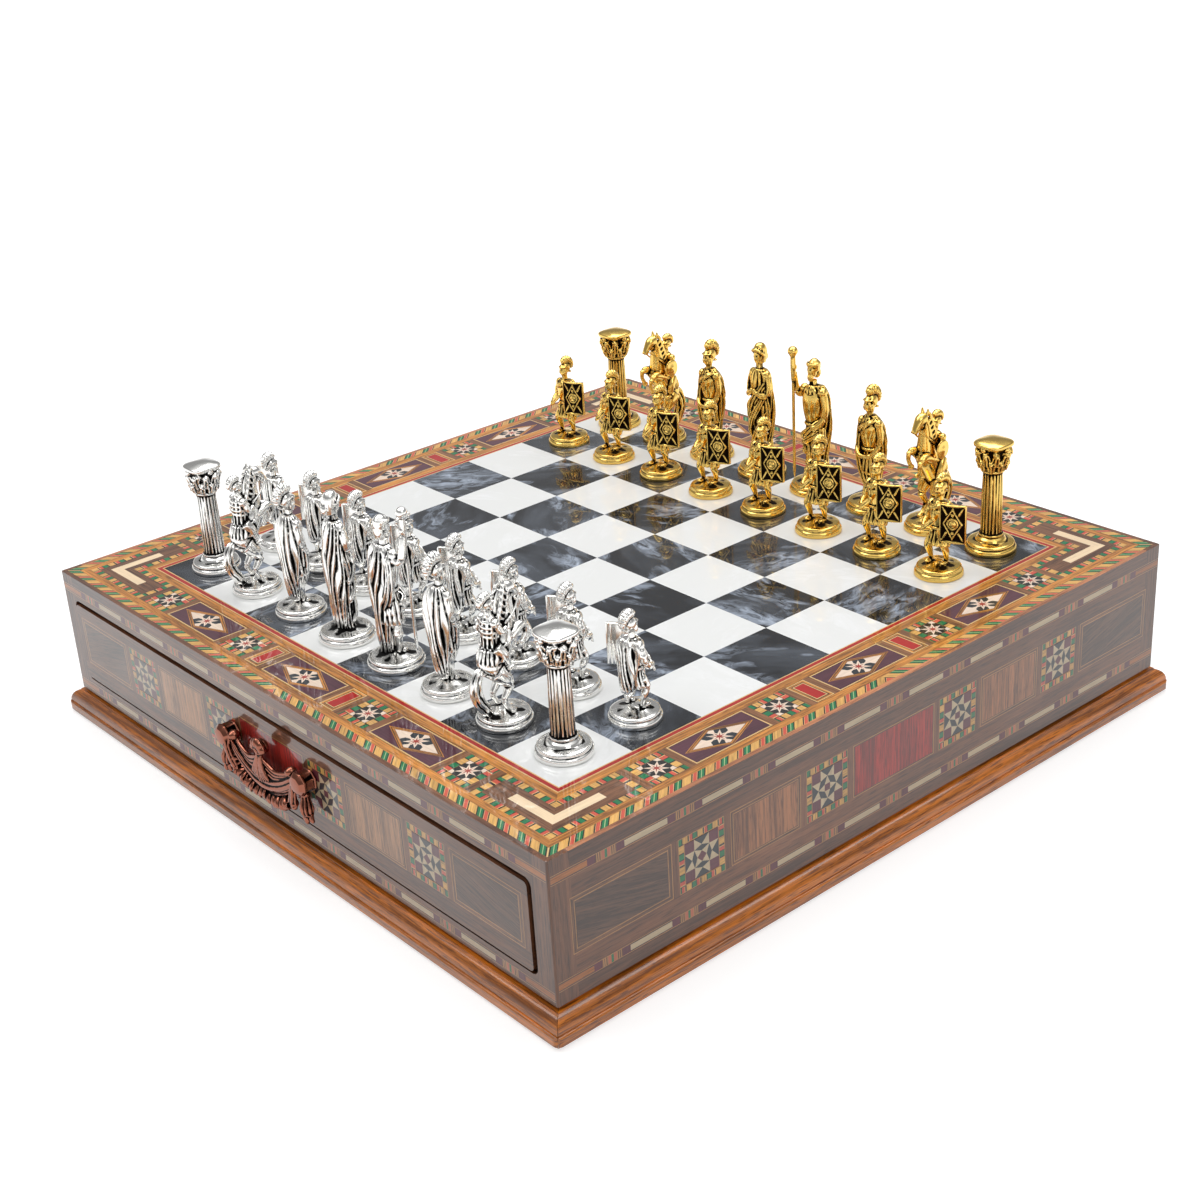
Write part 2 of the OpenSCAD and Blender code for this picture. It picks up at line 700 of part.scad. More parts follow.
module pawn() {
    hip = 20;
    chest = pawn_h - 17;
    man_base(pawn_base_d);
    for (s = [-1, 1]) translate([s * 2.9, 0.3, base_h - 1]) cylinder(r = 2.3, h = hip - base_h);
    translate([0, 0, hip - 4]) cylinder(r1 = 6.4, r2 = 4.4, h = 9);
    translate([0, 0, hip + 5 - eps]) cylinder(r1 = 4.4, r2 = 5.4, h = chest - hip - 5);
    translate([-5.4, 0, chest]) rotate([0, 90, 0]) cylinder(r = 2.6, h = 10.8);
    limb([5.6, 0, chest], [8, 1.5, chest - 9], 2.4, 2);
    limb([8, 1.5, chest - 9], [6.5, 8, chest - 12], 2, 1.7);
    limb([-5.6, 0, chest], [-7.5, 4, chest - 8], 2.4, 2);
    crested_head(pawn_h, 3.2);
    cloak(7.4, 1.4, base_h + 1, chest + 1);
    translate([-8.5, 5.5, chest - 6]) rotate(24) cube([shield_w, 2, shield_h], center = true);
}

module rook() {
    u = rook_h / 59;
    shaft_h = 34 * u;
    man_base(officer_base_d);
    translate([0, 0, base_h - eps]) cylinder(r1 = 7.4 * u, r2 = 6.4 * u, h = 2.4 * u);
    difference() {
        translate([0, 0, base_h + 2 * u]) cylinder(r1 = 5.9 * u, r2 = 5.4 * u, h = shaft_h);
        for (a = [0:30:330]) rotate(a) translate([6.1 * u, 0, base_h + 4 * u])
            cylinder(r = 0.9 * u, h = shaft_h - 4 * u, $fn = 16);
    }
    translate([0, 0, base_h + 2 * u + shaft_h]) {
        cylinder(r = 6.6 * u, h = 1.6 * u);
        translate([0, 0, 1.6 * u])
            cylinder(r1 = 6 * u, r2 = 8 * u, h = rook_h - base_h - shaft_h - 7.6 * u);
    }
    for (a = [45:90:315]) rotate(a) translate([9 * u, 0, rook_h - 5.6 * u])
        rotate([90, 0, 0])
            cylinder(r = 1.8 * u, h = 3 * u, center = true, $fn = 24);
    // The abacus is a square with hollow sides
    translate([0, 0, rook_h - 4 * u]) linear_extrude(4 * u) scale(u) difference() {
        square(17, center = true);
        for (a = [0:90:270]) rotate(a) translate([28.6, 0]) circle(21, $fn = 96);
        for (a = [45:90:315]) rotate(a) translate([11, -3]) square(6);
    }
}

// Officer in a crested helmet, his cloak open at the front
module bishop() {
    chest = bishop_h - 21;
    man_base(officer_base_d, $fn = 14);
    trunk([[base_h - 0.6, 8.4, 3.6, -4.6], [20, 8, 3, -5], [chest - 8, 8.6, 3, -4.4],
        [chest + 3, 5.8, 2.4, -2.4]]);
    trunk([[21, 7, 5.4, 0.2], [25, 6.8, 5.2, 0.2], [34, 4.8, 3.9, 0], [chest - 4, 6.6, 4.6, 0],
        [chest + 1.6, 6.8, 3.8, 0], [chest + 4, 3, 2.8, 0]]);
    for (s = [-1, 1]) {
        bone([s * 3, 0.6, base_h], [s * 2.8, 0.6, 24], 2.4, 3.1);
        bone([s * 7.4, 0, chest], [s * 8.8, 0.8, chest - 12], 2.8, 2.2);
        bone([s * 8.8, 1, chest - 12], [s * 5.4, 5.4, chest - 19], 2, 1.7);
    }
    crested_head(bishop_h, 3.8, 10);
}

// Robed and veiled, her hands joined
module queen() {
    chest = queen_h - 16;
    man_base(royal_base_d, $fn = 14);
    trunk([[base_h - 0.8, 8, 6.6, -0.4], [14, 6.8, 5.6, -0.6], [32, 6, 5.2, 0], [46, 6.6, 5.2, 0],
        [chest, 7.8, 4.8, 0], [chest + 4, 3.4, 3, 0]]);
    for (a = [20:40:340]) rotate(a - 90)
        bone([6.6, 0, base_h], [5, 0, 40], 1.5, 0.9);
    for (s = [-1, 1]) {
        bone([s * 7.4, 0, chest], [s * 8.4, 3, chest - 13], 2.7, 2.2);
        bone([s * 8.4, 3.2, chest - 13], [s * 1.6, 7.4, chest - 11], 2.4, 1.6);
    }
    translate([0, 0, queen_h - 5]) sphere(5, $fn = 10);
    trunk([[chest - 12, 6.2, 2.6, -4], [chest + 2, 5.8, 3.2, -2.4], [queen_h - 6, 4.6, 4, -1.4]]);
    translate([0, 0, chest + 2]) cylinder(r = 2.6, h = 6, $fn = 10);
}

// Bearded king in armour and cloak, his right hand on a tall staff with a knob
module king() {
    chest = king_h - 19;
    hand = [11.2, 3.2, chest + 12];
    man_base(royal_base_d, $fn = 14);
    trunk([[base_h - 0.6, 9, 4, -4.8], [24, 8.6, 3.4, -5.4], [chest - 8, 9.2, 3.4, -4.6],
        [chest + 4, 6, 2.6, -2.6]]);
    trunk([[23, 7.6, 6, 0.2], [28, 7.4, 5.8, 0.2], [38, 5.4, 4.4, 0], [chest - 5, 7.6, 5.2, 0],
        [chest + 2, 7.4, 4.2, 0], [chest + 5, 3.2, 3, 0]]);
    for (s = [-1, 1]) bone([s * 3.2, 0.6, base_h], [s * 3, 0.6, 26], 2.6, 3.4);
    bone([-8, 0, chest], [-10, 1, chest - 13], 3, 2.4);
    bone([-10, 1.4, chest - 13], [-6.6, 6, chest - 20], 2.2, 1.8);
    bone([8, 0, chest], [12, 1.6, chest - 1], 3, 2.4);
    bone([12, 1.9, chest - 1], hand, 2.2, 1.9);
    bone([9.4, 5.6, base_h - 0.6], [hand[0], hand[1], staff_h - 4], 1.1, 1);
    translate([hand[0], hand[1], staff_h - 3.2]) sphere(3.2, $fn = 10);
    translate([0, 0, king_h - 4.8]) sphere(4.8, $fn = 10);
    translate([0, 0, chest + 3]) cylinder(r = 2.8, h = 6, $fn = 10);
    bone([0, 2.6, king_h - 8], [0, 3.4, king_h - 12], 2.6, 1.2);
}

// Horse rearing on its hind legs, with its rider
module knight() {
    u = knight_h / 68;
    rump = [0, -4.5, 27] * u;
    breast = [0, 3.5, 41] * u;
    poll = [0, 6, 62] * u;
    tail = [0, -12, 14] * u;
    man_base(officer_base_d, $fn = 14);
    bone(rump, breast, 6.6 * u, 5.8 * u, 7);
    bone(breast + [0, 0.5, 3] * u, poll, 4.6 * u, 3 * u, 7);
    bone(poll + [0, 0.3, 0] * u, poll + [0, 7, -6] * u, 2.7 * u, 1.7 * u, 7);
    for (s = [-1, 1]) {
        knee = [s * 4, 2.6, 19] * u;
        hock = [s * 4.2, -2.6, 12.5] * u;
        wrist = [s * 3.8, 12.4, 42 + s * 2] * u;
        bone(rump + [s * 3.4, 0.5, -3] * u, knee, 4.4 * u, 2.1 * u, 7);
        bone(knee, hock, 1.9 * u, 1.7 * u, 5);
        bone(hock, [s * 4.4 * u, 0.8 * u, base_h + 0.3], 1.5 * u, 1.9 * u, 5);
        bone(breast + [s * 3.4, 2, -1] * u, wrist, 2.9 * u, 1.8 * u, 7);
        bone(wrist, [s * 3.8, 11.4, 34 + s * 3] * u, 1.6 * u, 1.4 * u, 5);
        bone([s * 5.2, -4, 40] * u, [s * 6.6, 0.5, 28] * u, 2.7 * u, 1.8 * u, 5);
        bone([s * 4.6, -4.4, 50] * u, [s * 4.4, 1, 46] * u, 1.9 * u, 1.5 * u, 5);
    }
    bone(rump + [0, -5.5, -1] * u, tail, 2 * u, 2.5 * u, 5);
    bone(tail, [0, -9.6 * u, base_h - 1], 2.3 * u, 1.4 * u, 5);
    // Rider, turned to the horse's head
    scale(u) {
        trunk([[36, 5.4, 4.4, -4], [42, 4.2, 3.4, -4.2], [49.5, 5.4, 3.4, -4.4],
            [52, 2.4, 2.2, -4.4]]);
        translate([0, -4.4, 55.4]) sphere(3.1, $fn = 7);
        translate([0, -4.4, 51]) cylinder(r = 1.8, h = 4, $fn = 6);
        translate([-0.8, -5.4, 57.4]) rotate([0, 90, 0]) cylinder(r = 4.2, h = 1.6, $fn = 9);
    }
}

module silver_men(cols, row = silver_row) color(silver) for (c = cols)
    stand(c, row, 0) children();

module gold_men(cols, row = gold_row) color(gold) for (c = cols)
    stand(c, row, 180) children();

// ---------- what is drawn

bottom_board();
base_moulding();
foot_pads();
left_wall();
right_wall();
frame();  // front_frame
rotate(180) frame();  // back_frame
top_board();
drawer_stop_rail();
drawer_runners();
drawer_kickers();
light_squares();
dark_squares();
field_lines();
border_ground();
border_rosettes();
border_diamonds();
border_bars();
corner_frames();
corner_chevrons();
rope_band();
side_stars();
side_panels();
dash_bands();
drawer_face();  // front_drawer_face
drawer_stars();  // front_drawer_stars
drawer_panels();  // front_drawer_panels
drawer_sides();  // front_drawer_sides
drawer_back();  // front_drawer_back
drawer_bottom();  // front_drawer_bottom
drawer_lining();  // front_drawer_lining
pull();  // front_pull
pull_screws();  // front_pull_screws
rotate(180) drawer_face();  // back_drawer_face
rotate(180) drawer_stars();  // back_drawer_stars
rotate(180) drawer_panels();  // back_drawer_panels
rotate(180) drawer_sides();  // back_drawer_sides
rotate(180) drawer_back();  // back_drawer_back
rotate(180) drawer_bottom();  // back_drawer_bottom
rotate(180) drawer_lining();  // back_drawer_lining
rotate(180) pull();  // back_pull
rotate(180) pull_screws();  // back_pull_screws
silver_men([0:squares - 1], silver_row + 1) pawn();  // silver_pawns
silver_men(rook_cols) rook();  // silver_rooks
silver_men(knight_cols) knight();  // silver_knights
silver_men(bishop_cols) bishop();  // silver_bishops
silver_men([queen_col]) queen();  // silver_queen
silver_men([king_col]) king();  // silver_king
gold_men([0:squares - 1], gold_row - 1) pawn();  // gold_pawns
gold_men(rook_cols) rook();  // gold_rooks
gold_men(knight_cols) knight();  // gold_knights
gold_men(bishop_cols) bishop();  // gold_bishops
gold_men([queen_col]) queen();  // gold_queen
gold_men([king_col]) king();  // gold_king
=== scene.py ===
# Chess box with two drawers, its marquetry board and the cast metal men.
# Shapes are worked out in millimetres and put into the meshes in metres.
import math

import bpy
import numpy as np
from mathutils import Matrix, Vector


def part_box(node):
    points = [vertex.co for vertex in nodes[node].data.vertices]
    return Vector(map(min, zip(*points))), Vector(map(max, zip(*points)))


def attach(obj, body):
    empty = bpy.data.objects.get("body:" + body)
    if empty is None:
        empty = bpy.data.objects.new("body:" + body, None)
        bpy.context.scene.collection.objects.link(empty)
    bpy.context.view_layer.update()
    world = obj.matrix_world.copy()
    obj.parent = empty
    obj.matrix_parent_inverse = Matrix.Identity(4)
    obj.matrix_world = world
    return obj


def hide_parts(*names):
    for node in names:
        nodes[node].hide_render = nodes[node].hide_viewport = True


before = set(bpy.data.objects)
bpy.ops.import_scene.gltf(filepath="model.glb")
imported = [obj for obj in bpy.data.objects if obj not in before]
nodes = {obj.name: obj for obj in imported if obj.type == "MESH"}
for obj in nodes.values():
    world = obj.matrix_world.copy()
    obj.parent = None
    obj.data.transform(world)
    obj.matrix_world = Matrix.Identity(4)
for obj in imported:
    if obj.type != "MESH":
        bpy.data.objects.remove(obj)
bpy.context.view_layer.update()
mm = 0.001
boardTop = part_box("light_squares")[1][2] / mm
print("stage: frame loaded")


def placed(name, data):  # a new object in the scene
    made = bpy.data.objects.new(name, data)
    bpy.context.scene.collection.objects.link(made)
    return made


def posed(right, up, back, place):  # an object's matrix from its axes and its place
    return Matrix([*np.column_stack([right, up, back, place]).tolist(), [0, 0, 0, 1]])


# ---- camera

camera = {
    "focal": 57.6157, "sensor": 36,  # the sensor is square
    "azimuth": 50.3935, "elevation": 25.2323,  # in degrees
    "roll": -0.0625961,  # in radians
    "distance": 0.934166, "target": (0.039094, -0.032245, 0.0825), "clip": (0.02, 30),
}


def placeCamera():
    # stands back from the target along the view axis, then rolls about that axis
    az, el = math.radians(camera["azimuth"]), math.radians(camera["elevation"])
    back = np.array([math.sin(az) * math.cos(el), -math.cos(az) * math.cos(el), math.sin(el)])
    flat = np.cross(-back, [0, 0, 1])
    flat /= np.linalg.norm(flat)
    down = np.cross(-back, flat)
    c, s = math.cos(camera["roll"]), math.sin(camera["roll"])
    data = bpy.data.cameras.new("photoCamera")
    data.lens, data.sensor_fit = camera["focal"], "HORIZONTAL"
    data.sensor_width = data.sensor_height = camera["sensor"]
    data.clip_start, data.clip_end = camera["clip"]
    holder = placed("photoCamera", data)
    holder.matrix_world = posed(c * flat - s * down, -s * flat - c * down, back,
                                camera["target"] + back * camera["distance"])
    bpy.context.scene.camera = holder


placeCamera()
bpy.context.scene.view_settings.view_transform = "Standard"

# ---- shader nodes


def linear(red, green, blue):  # 0..255 display values to a linear colour
    c = np.array([red, green, blue]) / 255
    return tuple(np.where(c <= 0.04045, c / 12.92, ((c + 0.055) / 1.055) ** 2.4))


def rgba(colour):
    return (*linear(*colour), 1.0)


class Wire:
    # an output socket that can be reckoned with: every operator adds a Math node
    def __init__(self, socket):
        self.socket, self.tree = socket, socket.id_data

    def __add__(self, other):
        return maths("ADD", self, other)

    def __sub__(self, other):
        return maths("SUBTRACT", self, other)

    def __rsub__(self, other):
        return maths("SUBTRACT", other, self)

    def __mul__(self, other):
        return maths("MULTIPLY", self, other)


def put(target, value):  # a wire is linked to the socket, a value is written on it
    if isinstance(value, Wire):
        target.id_data.links.new(value.socket, target)
    else:
        target.default_value = value


def add(tree, kind, inputs=None, out=0, **settings):
    made = tree.nodes.new(kind)
    for key, value in settings.items():
        setattr(made, key, value)
    for key, value in (inputs or {}).items():
        put(made.inputs[key], value)
    return Wire(made.outputs[out])


def treeOf(*values):
    return next(value.tree for value in values if isinstance(value, Wire))


def maths(operation, *values, clamp=False):
    return add(treeOf(*values), "ShaderNodeMath", dict(enumerate(values)), operation=operation,
               use_clamp=clamp)


def vectors(operation, first, second, out="Vector"):
    key = "Scale" if operation == "SCALE" else 1
    return add(treeOf(first, second), "ShaderNodeVectorMath", {0: first, key: second}, out,
               operation=operation)


def mixed(share, first, second, blend="MIX"):  # the colour sockets of a Mix node
    return add(treeOf(share, first, second), "ShaderNodeMix", {0: share, 6: first, 7: second}, 2,
               data_type="RGBA", blend_type=blend, clamp_factor=True)


def spread(value, low, high, to=(0.0, 1.0)):
    return add(value.tree, "ShaderNodeMapRange", {0: value, 1: low, 2: high, 3: to[0], 4: to[1]},
               clamp=True)


def noise(place, scale, detail=3.0, rough=0.5, twist=0.0, out=0):
    return add(place.tree, "ShaderNodeTexNoise", {
        "Vector": place, "Scale": scale, "Detail": detail, "Roughness": rough, "Distortion": twist}, out)


def parted(place):
    made = add(place.tree, "ShaderNodeSeparateXYZ", {0: place})
    return [Wire(part) for part in made.socket.node.outputs]


def attribute(tree, name, out="Fac"):
    return add(tree, "ShaderNodeAttribute", out=out, attribute_name=name)


def position(tree, kind="Object"):
    return add(tree, "ShaderNodeTexCoord", out=kind)


def newGroup(name, build, **inputs):
    # a number, three numbers or four make a float, vector or colour socket; build takes the
    # inputs as wires and returns the outputs by name
    tree = bpy.data.node_groups.new(name, "ShaderNodeTree")
    for key, default in inputs.items():
        kind = {3: "Vector", 4: "Color"}[len(default)] if isinstance(default, tuple) else "Float"
        socket = tree.interface.new_socket(name=key, in_out="INPUT", socket_type="NodeSocket" + kind)
        socket.default_value = default
    given = tree.nodes.new("NodeGroupInput").outputs
    made = build(**{key: Wire(given[key]) for key in inputs})
    for key in made:
        kind = "Color" if key == "colour" else "Float"
        tree.interface.new_socket(name=key, in_out="OUTPUT", socket_type="NodeSocket" + kind)
    result = tree.nodes.new("NodeGroupOutput")
    for key, wire in made.items():
        put(result.inputs[key], wire)
    return tree


def useGroup(group, place, **inputs):
    made = place.tree.nodes.new("ShaderNodeGroup")
    made.node_tree = group
    for key, value in {"place": place, **inputs}.items():
        put(made.inputs[key], value)
    return {socket.name: Wire(socket) for socket in made.outputs}


def newMaterial(name, settings):
    # settings go straight onto the shader's own sockets
    material = bpy.data.materials.new(name)
    material.use_nodes = True
    shader = material.node_tree.nodes["Principled BSDF"]
    for key, value in settings.items():
        shader.inputs[key].default_value = value
    return material, shader.inputs, position(material.node_tree)


def bumped(shader, height, strength, depth):
    put(shader["Normal"], add(height.tree, "ShaderNodeBump", {
        "Height": height, "Strength": strength, "Distance": depth}))


# ---- floor, sky and lights: the sides stand in soft shade and mirror a bright table, as in the
# photograph: the floor gives little light back but glows for the camera and for reflections,
# and more so far away

floorLook = {
    "size": 8.0, "colour": (0.50, 0.50, 0.50, 1), "roughness": 0.75,
    "glow": (0.68, 1.0), "away": (0.3, 2.4),  # square of the distance over which the glow grows
}
skyLook = {
    "shade": 0.30,  # for diffuse rays; the rest is mirrored at the horizon, low and overhead
    "horizon": 0.9, "low": 0.22, "high": 1.0, "fade": (0.10, 0.30), "rise": (0.50, 0.86),
}
lights = {  # name: place, size, watts
    "keyPanel": ((-0.9, -1.0, 2.2), (1.4, 1.4), 17.0),
    "sidePanel": ((2.0, -0.5, 1.7), (1.2, 1.2), 9.0),
    "topPanel": ((-0.3, 0.7, 2.3), (2.2, 1.8), 40.0),
}


def buildFloor():
    h = floorLook["size"] / 2
    mesh = bpy.data.meshes.new("studioFloor")
    mesh.from_pydata([(-h, -h, 0), (h, -h, 0), (h, h, 0), (-h, h, 0)], [], [(0, 1, 2, 3)])
    placed("studioFloor", mesh)
    material, shader, place = newMaterial("paleFloor", {
        "Base Color": floorLook["colour"], "Roughness": floorLook["roughness"],
        "Specular IOR Level": 0.2})
    tree = place.tree
    rays = tree.nodes.new("ShaderNodeLightPath").outputs
    seen = maths("MAXIMUM", Wire(rays["Is Camera Ray"]), Wire(rays["Is Glossy Ray"]))
    x, y, _ = parted(place)
    glow = seen * spread(x * x + y * y, *floorLook["away"], floorLook["glow"])
    glowing = add(tree, "ShaderNodeEmission", {"Strength": glow})
    both = add(tree, "ShaderNodeAddShader", {
        0: Wire(tree.nodes["Principled BSDF"].outputs[0]), 1: glowing})
    put(tree.nodes["Material Output"].inputs["Surface"], both)
    mesh.materials.append(material)


def buildSky():
    world = bpy.data.worlds.new("studioWorld")
    bpy.context.scene.world = world
    world.use_nodes = True
    tree = world.node_tree
    rays = tree.nodes.new("ShaderNodeLightPath").outputs
    seen = maths("MAXIMUM", Wire(rays["Is Camera Ray"]), Wire(rays["Is Transmission Ray"]))
    up = parted(position(tree, "Generated"))[2]
    mirrored = maths("MAXIMUM", spread(up, *skyLook["rise"], (skyLook["low"], skyLook["high"])),
                     spread(up, *skyLook["fade"], (skyLook["horizon"], skyLook["low"])))
    glossy = Wire(rays["Is Glossy Ray"]) * mirrored
    background = tree.nodes["Background"].inputs
    put(background["Strength"], maths("MAXIMUM", maths("MAXIMUM", seen, glossy), skyLook["shade"]))
    put(background["Color"], (1, 1, 1, 1))


def buildLights():  # panels that face the origin
    for name, (place, size, watts) in lights.items():
        data = bpy.data.lights.new(name, "AREA")
        data.shape, data.size, data.size_y, data.energy = "RECTANGLE", *size, watts
        back = np.array(place) / np.linalg.norm(place)
        side = np.cross([0, 0, 1], back)
        side /= np.linalg.norm(side)
        placed(name, data).matrix_world = posed(side, np.cross(back, side), back, place)


buildFloor()
buildSky()
buildLights()
print("stage: camera, floor and light")

# ---- shader groups shared by the woods, the squares and the metals


def grainNodes(place, along, tint, figure, size):
    # the place is squeezed along the grain, so noise draws long streaks; broad figure, fine
    # streaks and short pores then shade the tint between a dark and a light version
    run = vectors("SCALE", along, vectors("DOT_PRODUCT", place, along, "Value"))
    across = vectors("SUBTRACT", place, run)

    def streaked(share, *look):
        return noise(vectors("ADD", across, vectors("SCALE", run, share)), *look)

    broad = streaked(0.10, size, 4.0, 0.55, 1.1)
    streaks = streaked(0.035, size * 11.0, 4.0, 0.72, 0.3)
    pores = spread(streaked(0.07, size * 24.0, 1.0), 0.56, 0.68)
    shade = ((broad - 0.5) * 2.3 + (streaks - 0.5) * 3.0 - pores * 0.55) * figure
    dark, light = (mixed(1.0, tint, colour, "MULTIPLY")
                   for colour in ((0.42, 0.36, 0.34, 1), (1.62, 1.50, 1.34, 1)))
    return {"colour": mixed(maths("ADD", shade, 0.5, clamp=True), dark, light),
            "height": streaks - pores}


def lacquerNodes(place, rough):
    # very shallow waves and fine specks of a hand-rubbed gloss lacquer
    specks = spread(noise(place, 900.0, 1.0), 0.70, 0.80)
    rub = spread(noise(place, 14.0, 2.0), 0.3, 0.7, (0.8, 1.25))
    return {"height": noise(place, 45.0, 2.0) + specks * 0.15, "roughness": rub * rough}


def pearlNodes(place, seed, base, wisp, amount):
    # curled feathery streaks: noise bent by a second noise, cut into thin bright wisps, and
    # turned for each square by its own seed
    turned = add(place.tree, "ShaderNodeVectorRotate", {"Vector": place, "Angle": seed * 6.28},
                 rotation_type="Z_AXIS")
    seeded = add(place.tree, "ShaderNodeCombineXYZ", {"Z": seed})
    place = vectors("ADD", vectors("MULTIPLY", turned, (1.0, 0.42, 1.0)), seeded)
    bend = vectors("SUBTRACT", noise(place, 55.0, out=1), (0.5, 0.5, 0.5))
    bent = vectors("ADD", place, vectors("SCALE", bend, 0.030))
    broad = spread(noise(bent, 62.0, 2.0), 0.49, 0.63)
    fine = spread(noise(bent, 190.0, 4.0, 0.65, 0.6), 0.40, 0.72)
    cloud = spread(noise(bent, 34.0, 3.0, 0.6), 0.42, 0.72)
    wisps = maths("MULTIPLY", broad * fine + cloud * 0.16, amount, clamp=True)
    return {"colour": mixed(wisps, base, wisp)}


def patinaNodes(place, hollow, bright, wash, rough, depth):
    # the hollow attribute is 1 in creases and 0 on ridges; creases keep the dark wash
    worn = noise(place, 420.0, 4.0, 0.6)
    hollow = spread(hollow + (worn - 0.5) * 0.35, 0.27, 0.48)
    hollow = maths("MULTIPLY", hollow, depth, clamp=True)
    return {"colour": mixed(hollow, bright, wash), "roughness": hollow * 0.35 + rough, "height": worn}


grey = (0.5, 0.5, 0.5, 1)
origin = (0.0, 0.0, 0.0)
woodGrain = newGroup("woodGrain", grainNodes, place=origin, along=(1.0, 0.0, 0.0), tint=grey,
                     figure=0.5, size=60.0)
lacquerSkin = newGroup("lacquerSkin", lacquerNodes, place=origin, rough=0.1)
pearlSheen = newGroup("pearlSheen", pearlNodes, place=origin, seed=0.0, base=grey, wisp=grey,
                      amount=1.0)
antiquePatina = newGroup("antiquePatina", patinaNodes, place=origin, hollow=0.0, bright=grey, wash=grey,
                         rough=0.15, depth=1.0)

# ---- materials

gloss = {"Coat Weight": 1.0, "Coat Roughness": 0.045, "Coat IOR": 1.5, "Roughness": 0.38,
         "Specular IOR Level": 0.25}


def lacquered(name, settings=None):
    material, shader, place = newMaterial(name, {**gloss, **(settings or {})})
    skin = useGroup(lacquerSkin, place, rough=shader["Roughness"].default_value)
    bumped(shader, skin["height"], 0.035, 0.0006)
    put(shader["Roughness"], skin["roughness"])
    return material, shader, place


def eitherWay(first, second, share):  # the second direction where share is 1
    return vectors("ADD", vectors("SCALE", second, share), vectors("SCALE", first, 1 - share))


walnutLook = {
    "tint": (114, 76, 54), "figure": 0.8, "size": 62.0,
    "row": (34.9, 61.3),  # the row of panels, above the floor
    "case": (14.5, 82.5),  # lowest and highest veneer
}


def walnutMaterial(name, run, stiles, strips):
    # run is the axis the veneer follows; beyond the stiles and behind the row of panels it runs
    # upright; strips scale the colour in bands by height, and a level far above 1 is a painted highlight
    material, shader, place = lacquered(name)
    x, y, z = parted(place)
    low, high = (height * mm for height in walnutLook["row"])
    inRow = maths("GREATER_THAN", z, low) * maths("LESS_THAN", z, high)
    onStile = maths("GREATER_THAN", maths("ABSOLUTE", x if run == "x" else y), stiles * mm)
    flat = (1, 0, 0) if run == "x" else (0, 1, 0)
    along = eitherWay(flat, (0, 0, 1), maths("MAXIMUM", onStile, inRow))
    low, high = walnutLook["case"]
    ramp = add(place.tree, "ShaderNodeValToRGB", {0: spread(z, low * mm, high * mm)})
    colours = ramp.socket.node.color_ramp
    colours.interpolation = "CONSTANT"
    colours.elements[0].color = (*(strips[0][1],) * 3, 1)
    colours.elements.remove(colours.elements[1])
    for height, level in strips[1:]:
        colours.elements.new((height - low) / (high - low)).color = (level, level, level, 1)
    grain = useGroup(woodGrain, place, along=along, figure=walnutLook["figure"],
                     size=walnutLook["size"],
                     tint=mixed(1.0, rgba(walnutLook["tint"]), ramp, "MULTIPLY"))
    put(shader["Base Color"], grain["colour"])
    return material


def plainWood(name, tint, figure, size, settings=None, around=False, along=(1, 0, 0)):
    # around: the grain follows x on the front and back lengths and y on the side lengths
    material, shader, place = lacquered(name, settings)
    if around:
        x, y, _ = parted(place)
        onSide = maths("GREATER_THAN", maths("ABSOLUTE", x), maths("ABSOLUTE", y))
        along = eitherWay((1, 0, 0), (0, 1, 0), onSide)
    grain = useGroup(woodGrain, place, along=along, tint=rgba(tint), figure=figure, size=size)
    put(shader["Base Color"], grain["colour"])
    return material


def inlayMaterial():
    # every tile carries its own tint, grain direction and strength of figure
    material, shader, place = lacquered("marquetryInlay")
    tree = place.tree
    grain = useGroup(woodGrain, place, along=attribute(tree, "along", "Vector"), size=75.0,
                     tint=attribute(tree, "tint", "Color"), figure=attribute(tree, "figure"))
    put(shader["Base Color"], grain["colour"])
    return material


def pearlMaterial(name, base, wisp, amount):
    material, shader, place = newMaterial(name, {
        **gloss, "Roughness": 0.22, "Coat Roughness": 0.02, "Coat IOR": 1.42})
    sheen = useGroup(pearlSheen, place, seed=attribute(place.tree, "seed"), base=rgba(base),
                     wisp=rgba(wisp), amount=amount)
    put(shader["Base Color"], sheen["colour"])
    bumped(shader, useGroup(lacquerSkin, place, rough=0.2)["height"], 0.02, 0.0005)
    return material


def metalMaterial(name, bright, wash, rough, depth, age):
    # age darkens the whole casting a little, so that its wash reaches out of the hollows
    material, shader, place = newMaterial(name, {"Metallic": 1.0})
    patina = useGroup(antiquePatina, place, hollow=attribute(place.tree, "hollow") + age,
                      bright=rgba(bright), wash=rgba(wash), rough=rough, depth=depth)
    put(shader["Base Color"], patina["colour"])
    put(shader["Roughness"], patina["roughness"])
    bumped(shader, patina["height"], 0.12, 0.0002)
    return material


def feltMaterial(name, tint):
    material, shader, place = newMaterial(name, {
        "Roughness": 0.95, "Sheen Weight": 0.5, "Specular IOR Level": 0.1})
    nap = noise(place, 1400.0, 4.0, 0.7)
    dark = tuple(c * 0.55 for c in linear(*tint)) + (1,)
    put(shader["Base Color"], mixed(nap * 0.8 + noise(place, 30.0) * 0.5, dark, rgba(tint)))
    bumped(shader, nap, 0.6, 0.0004)
    return material


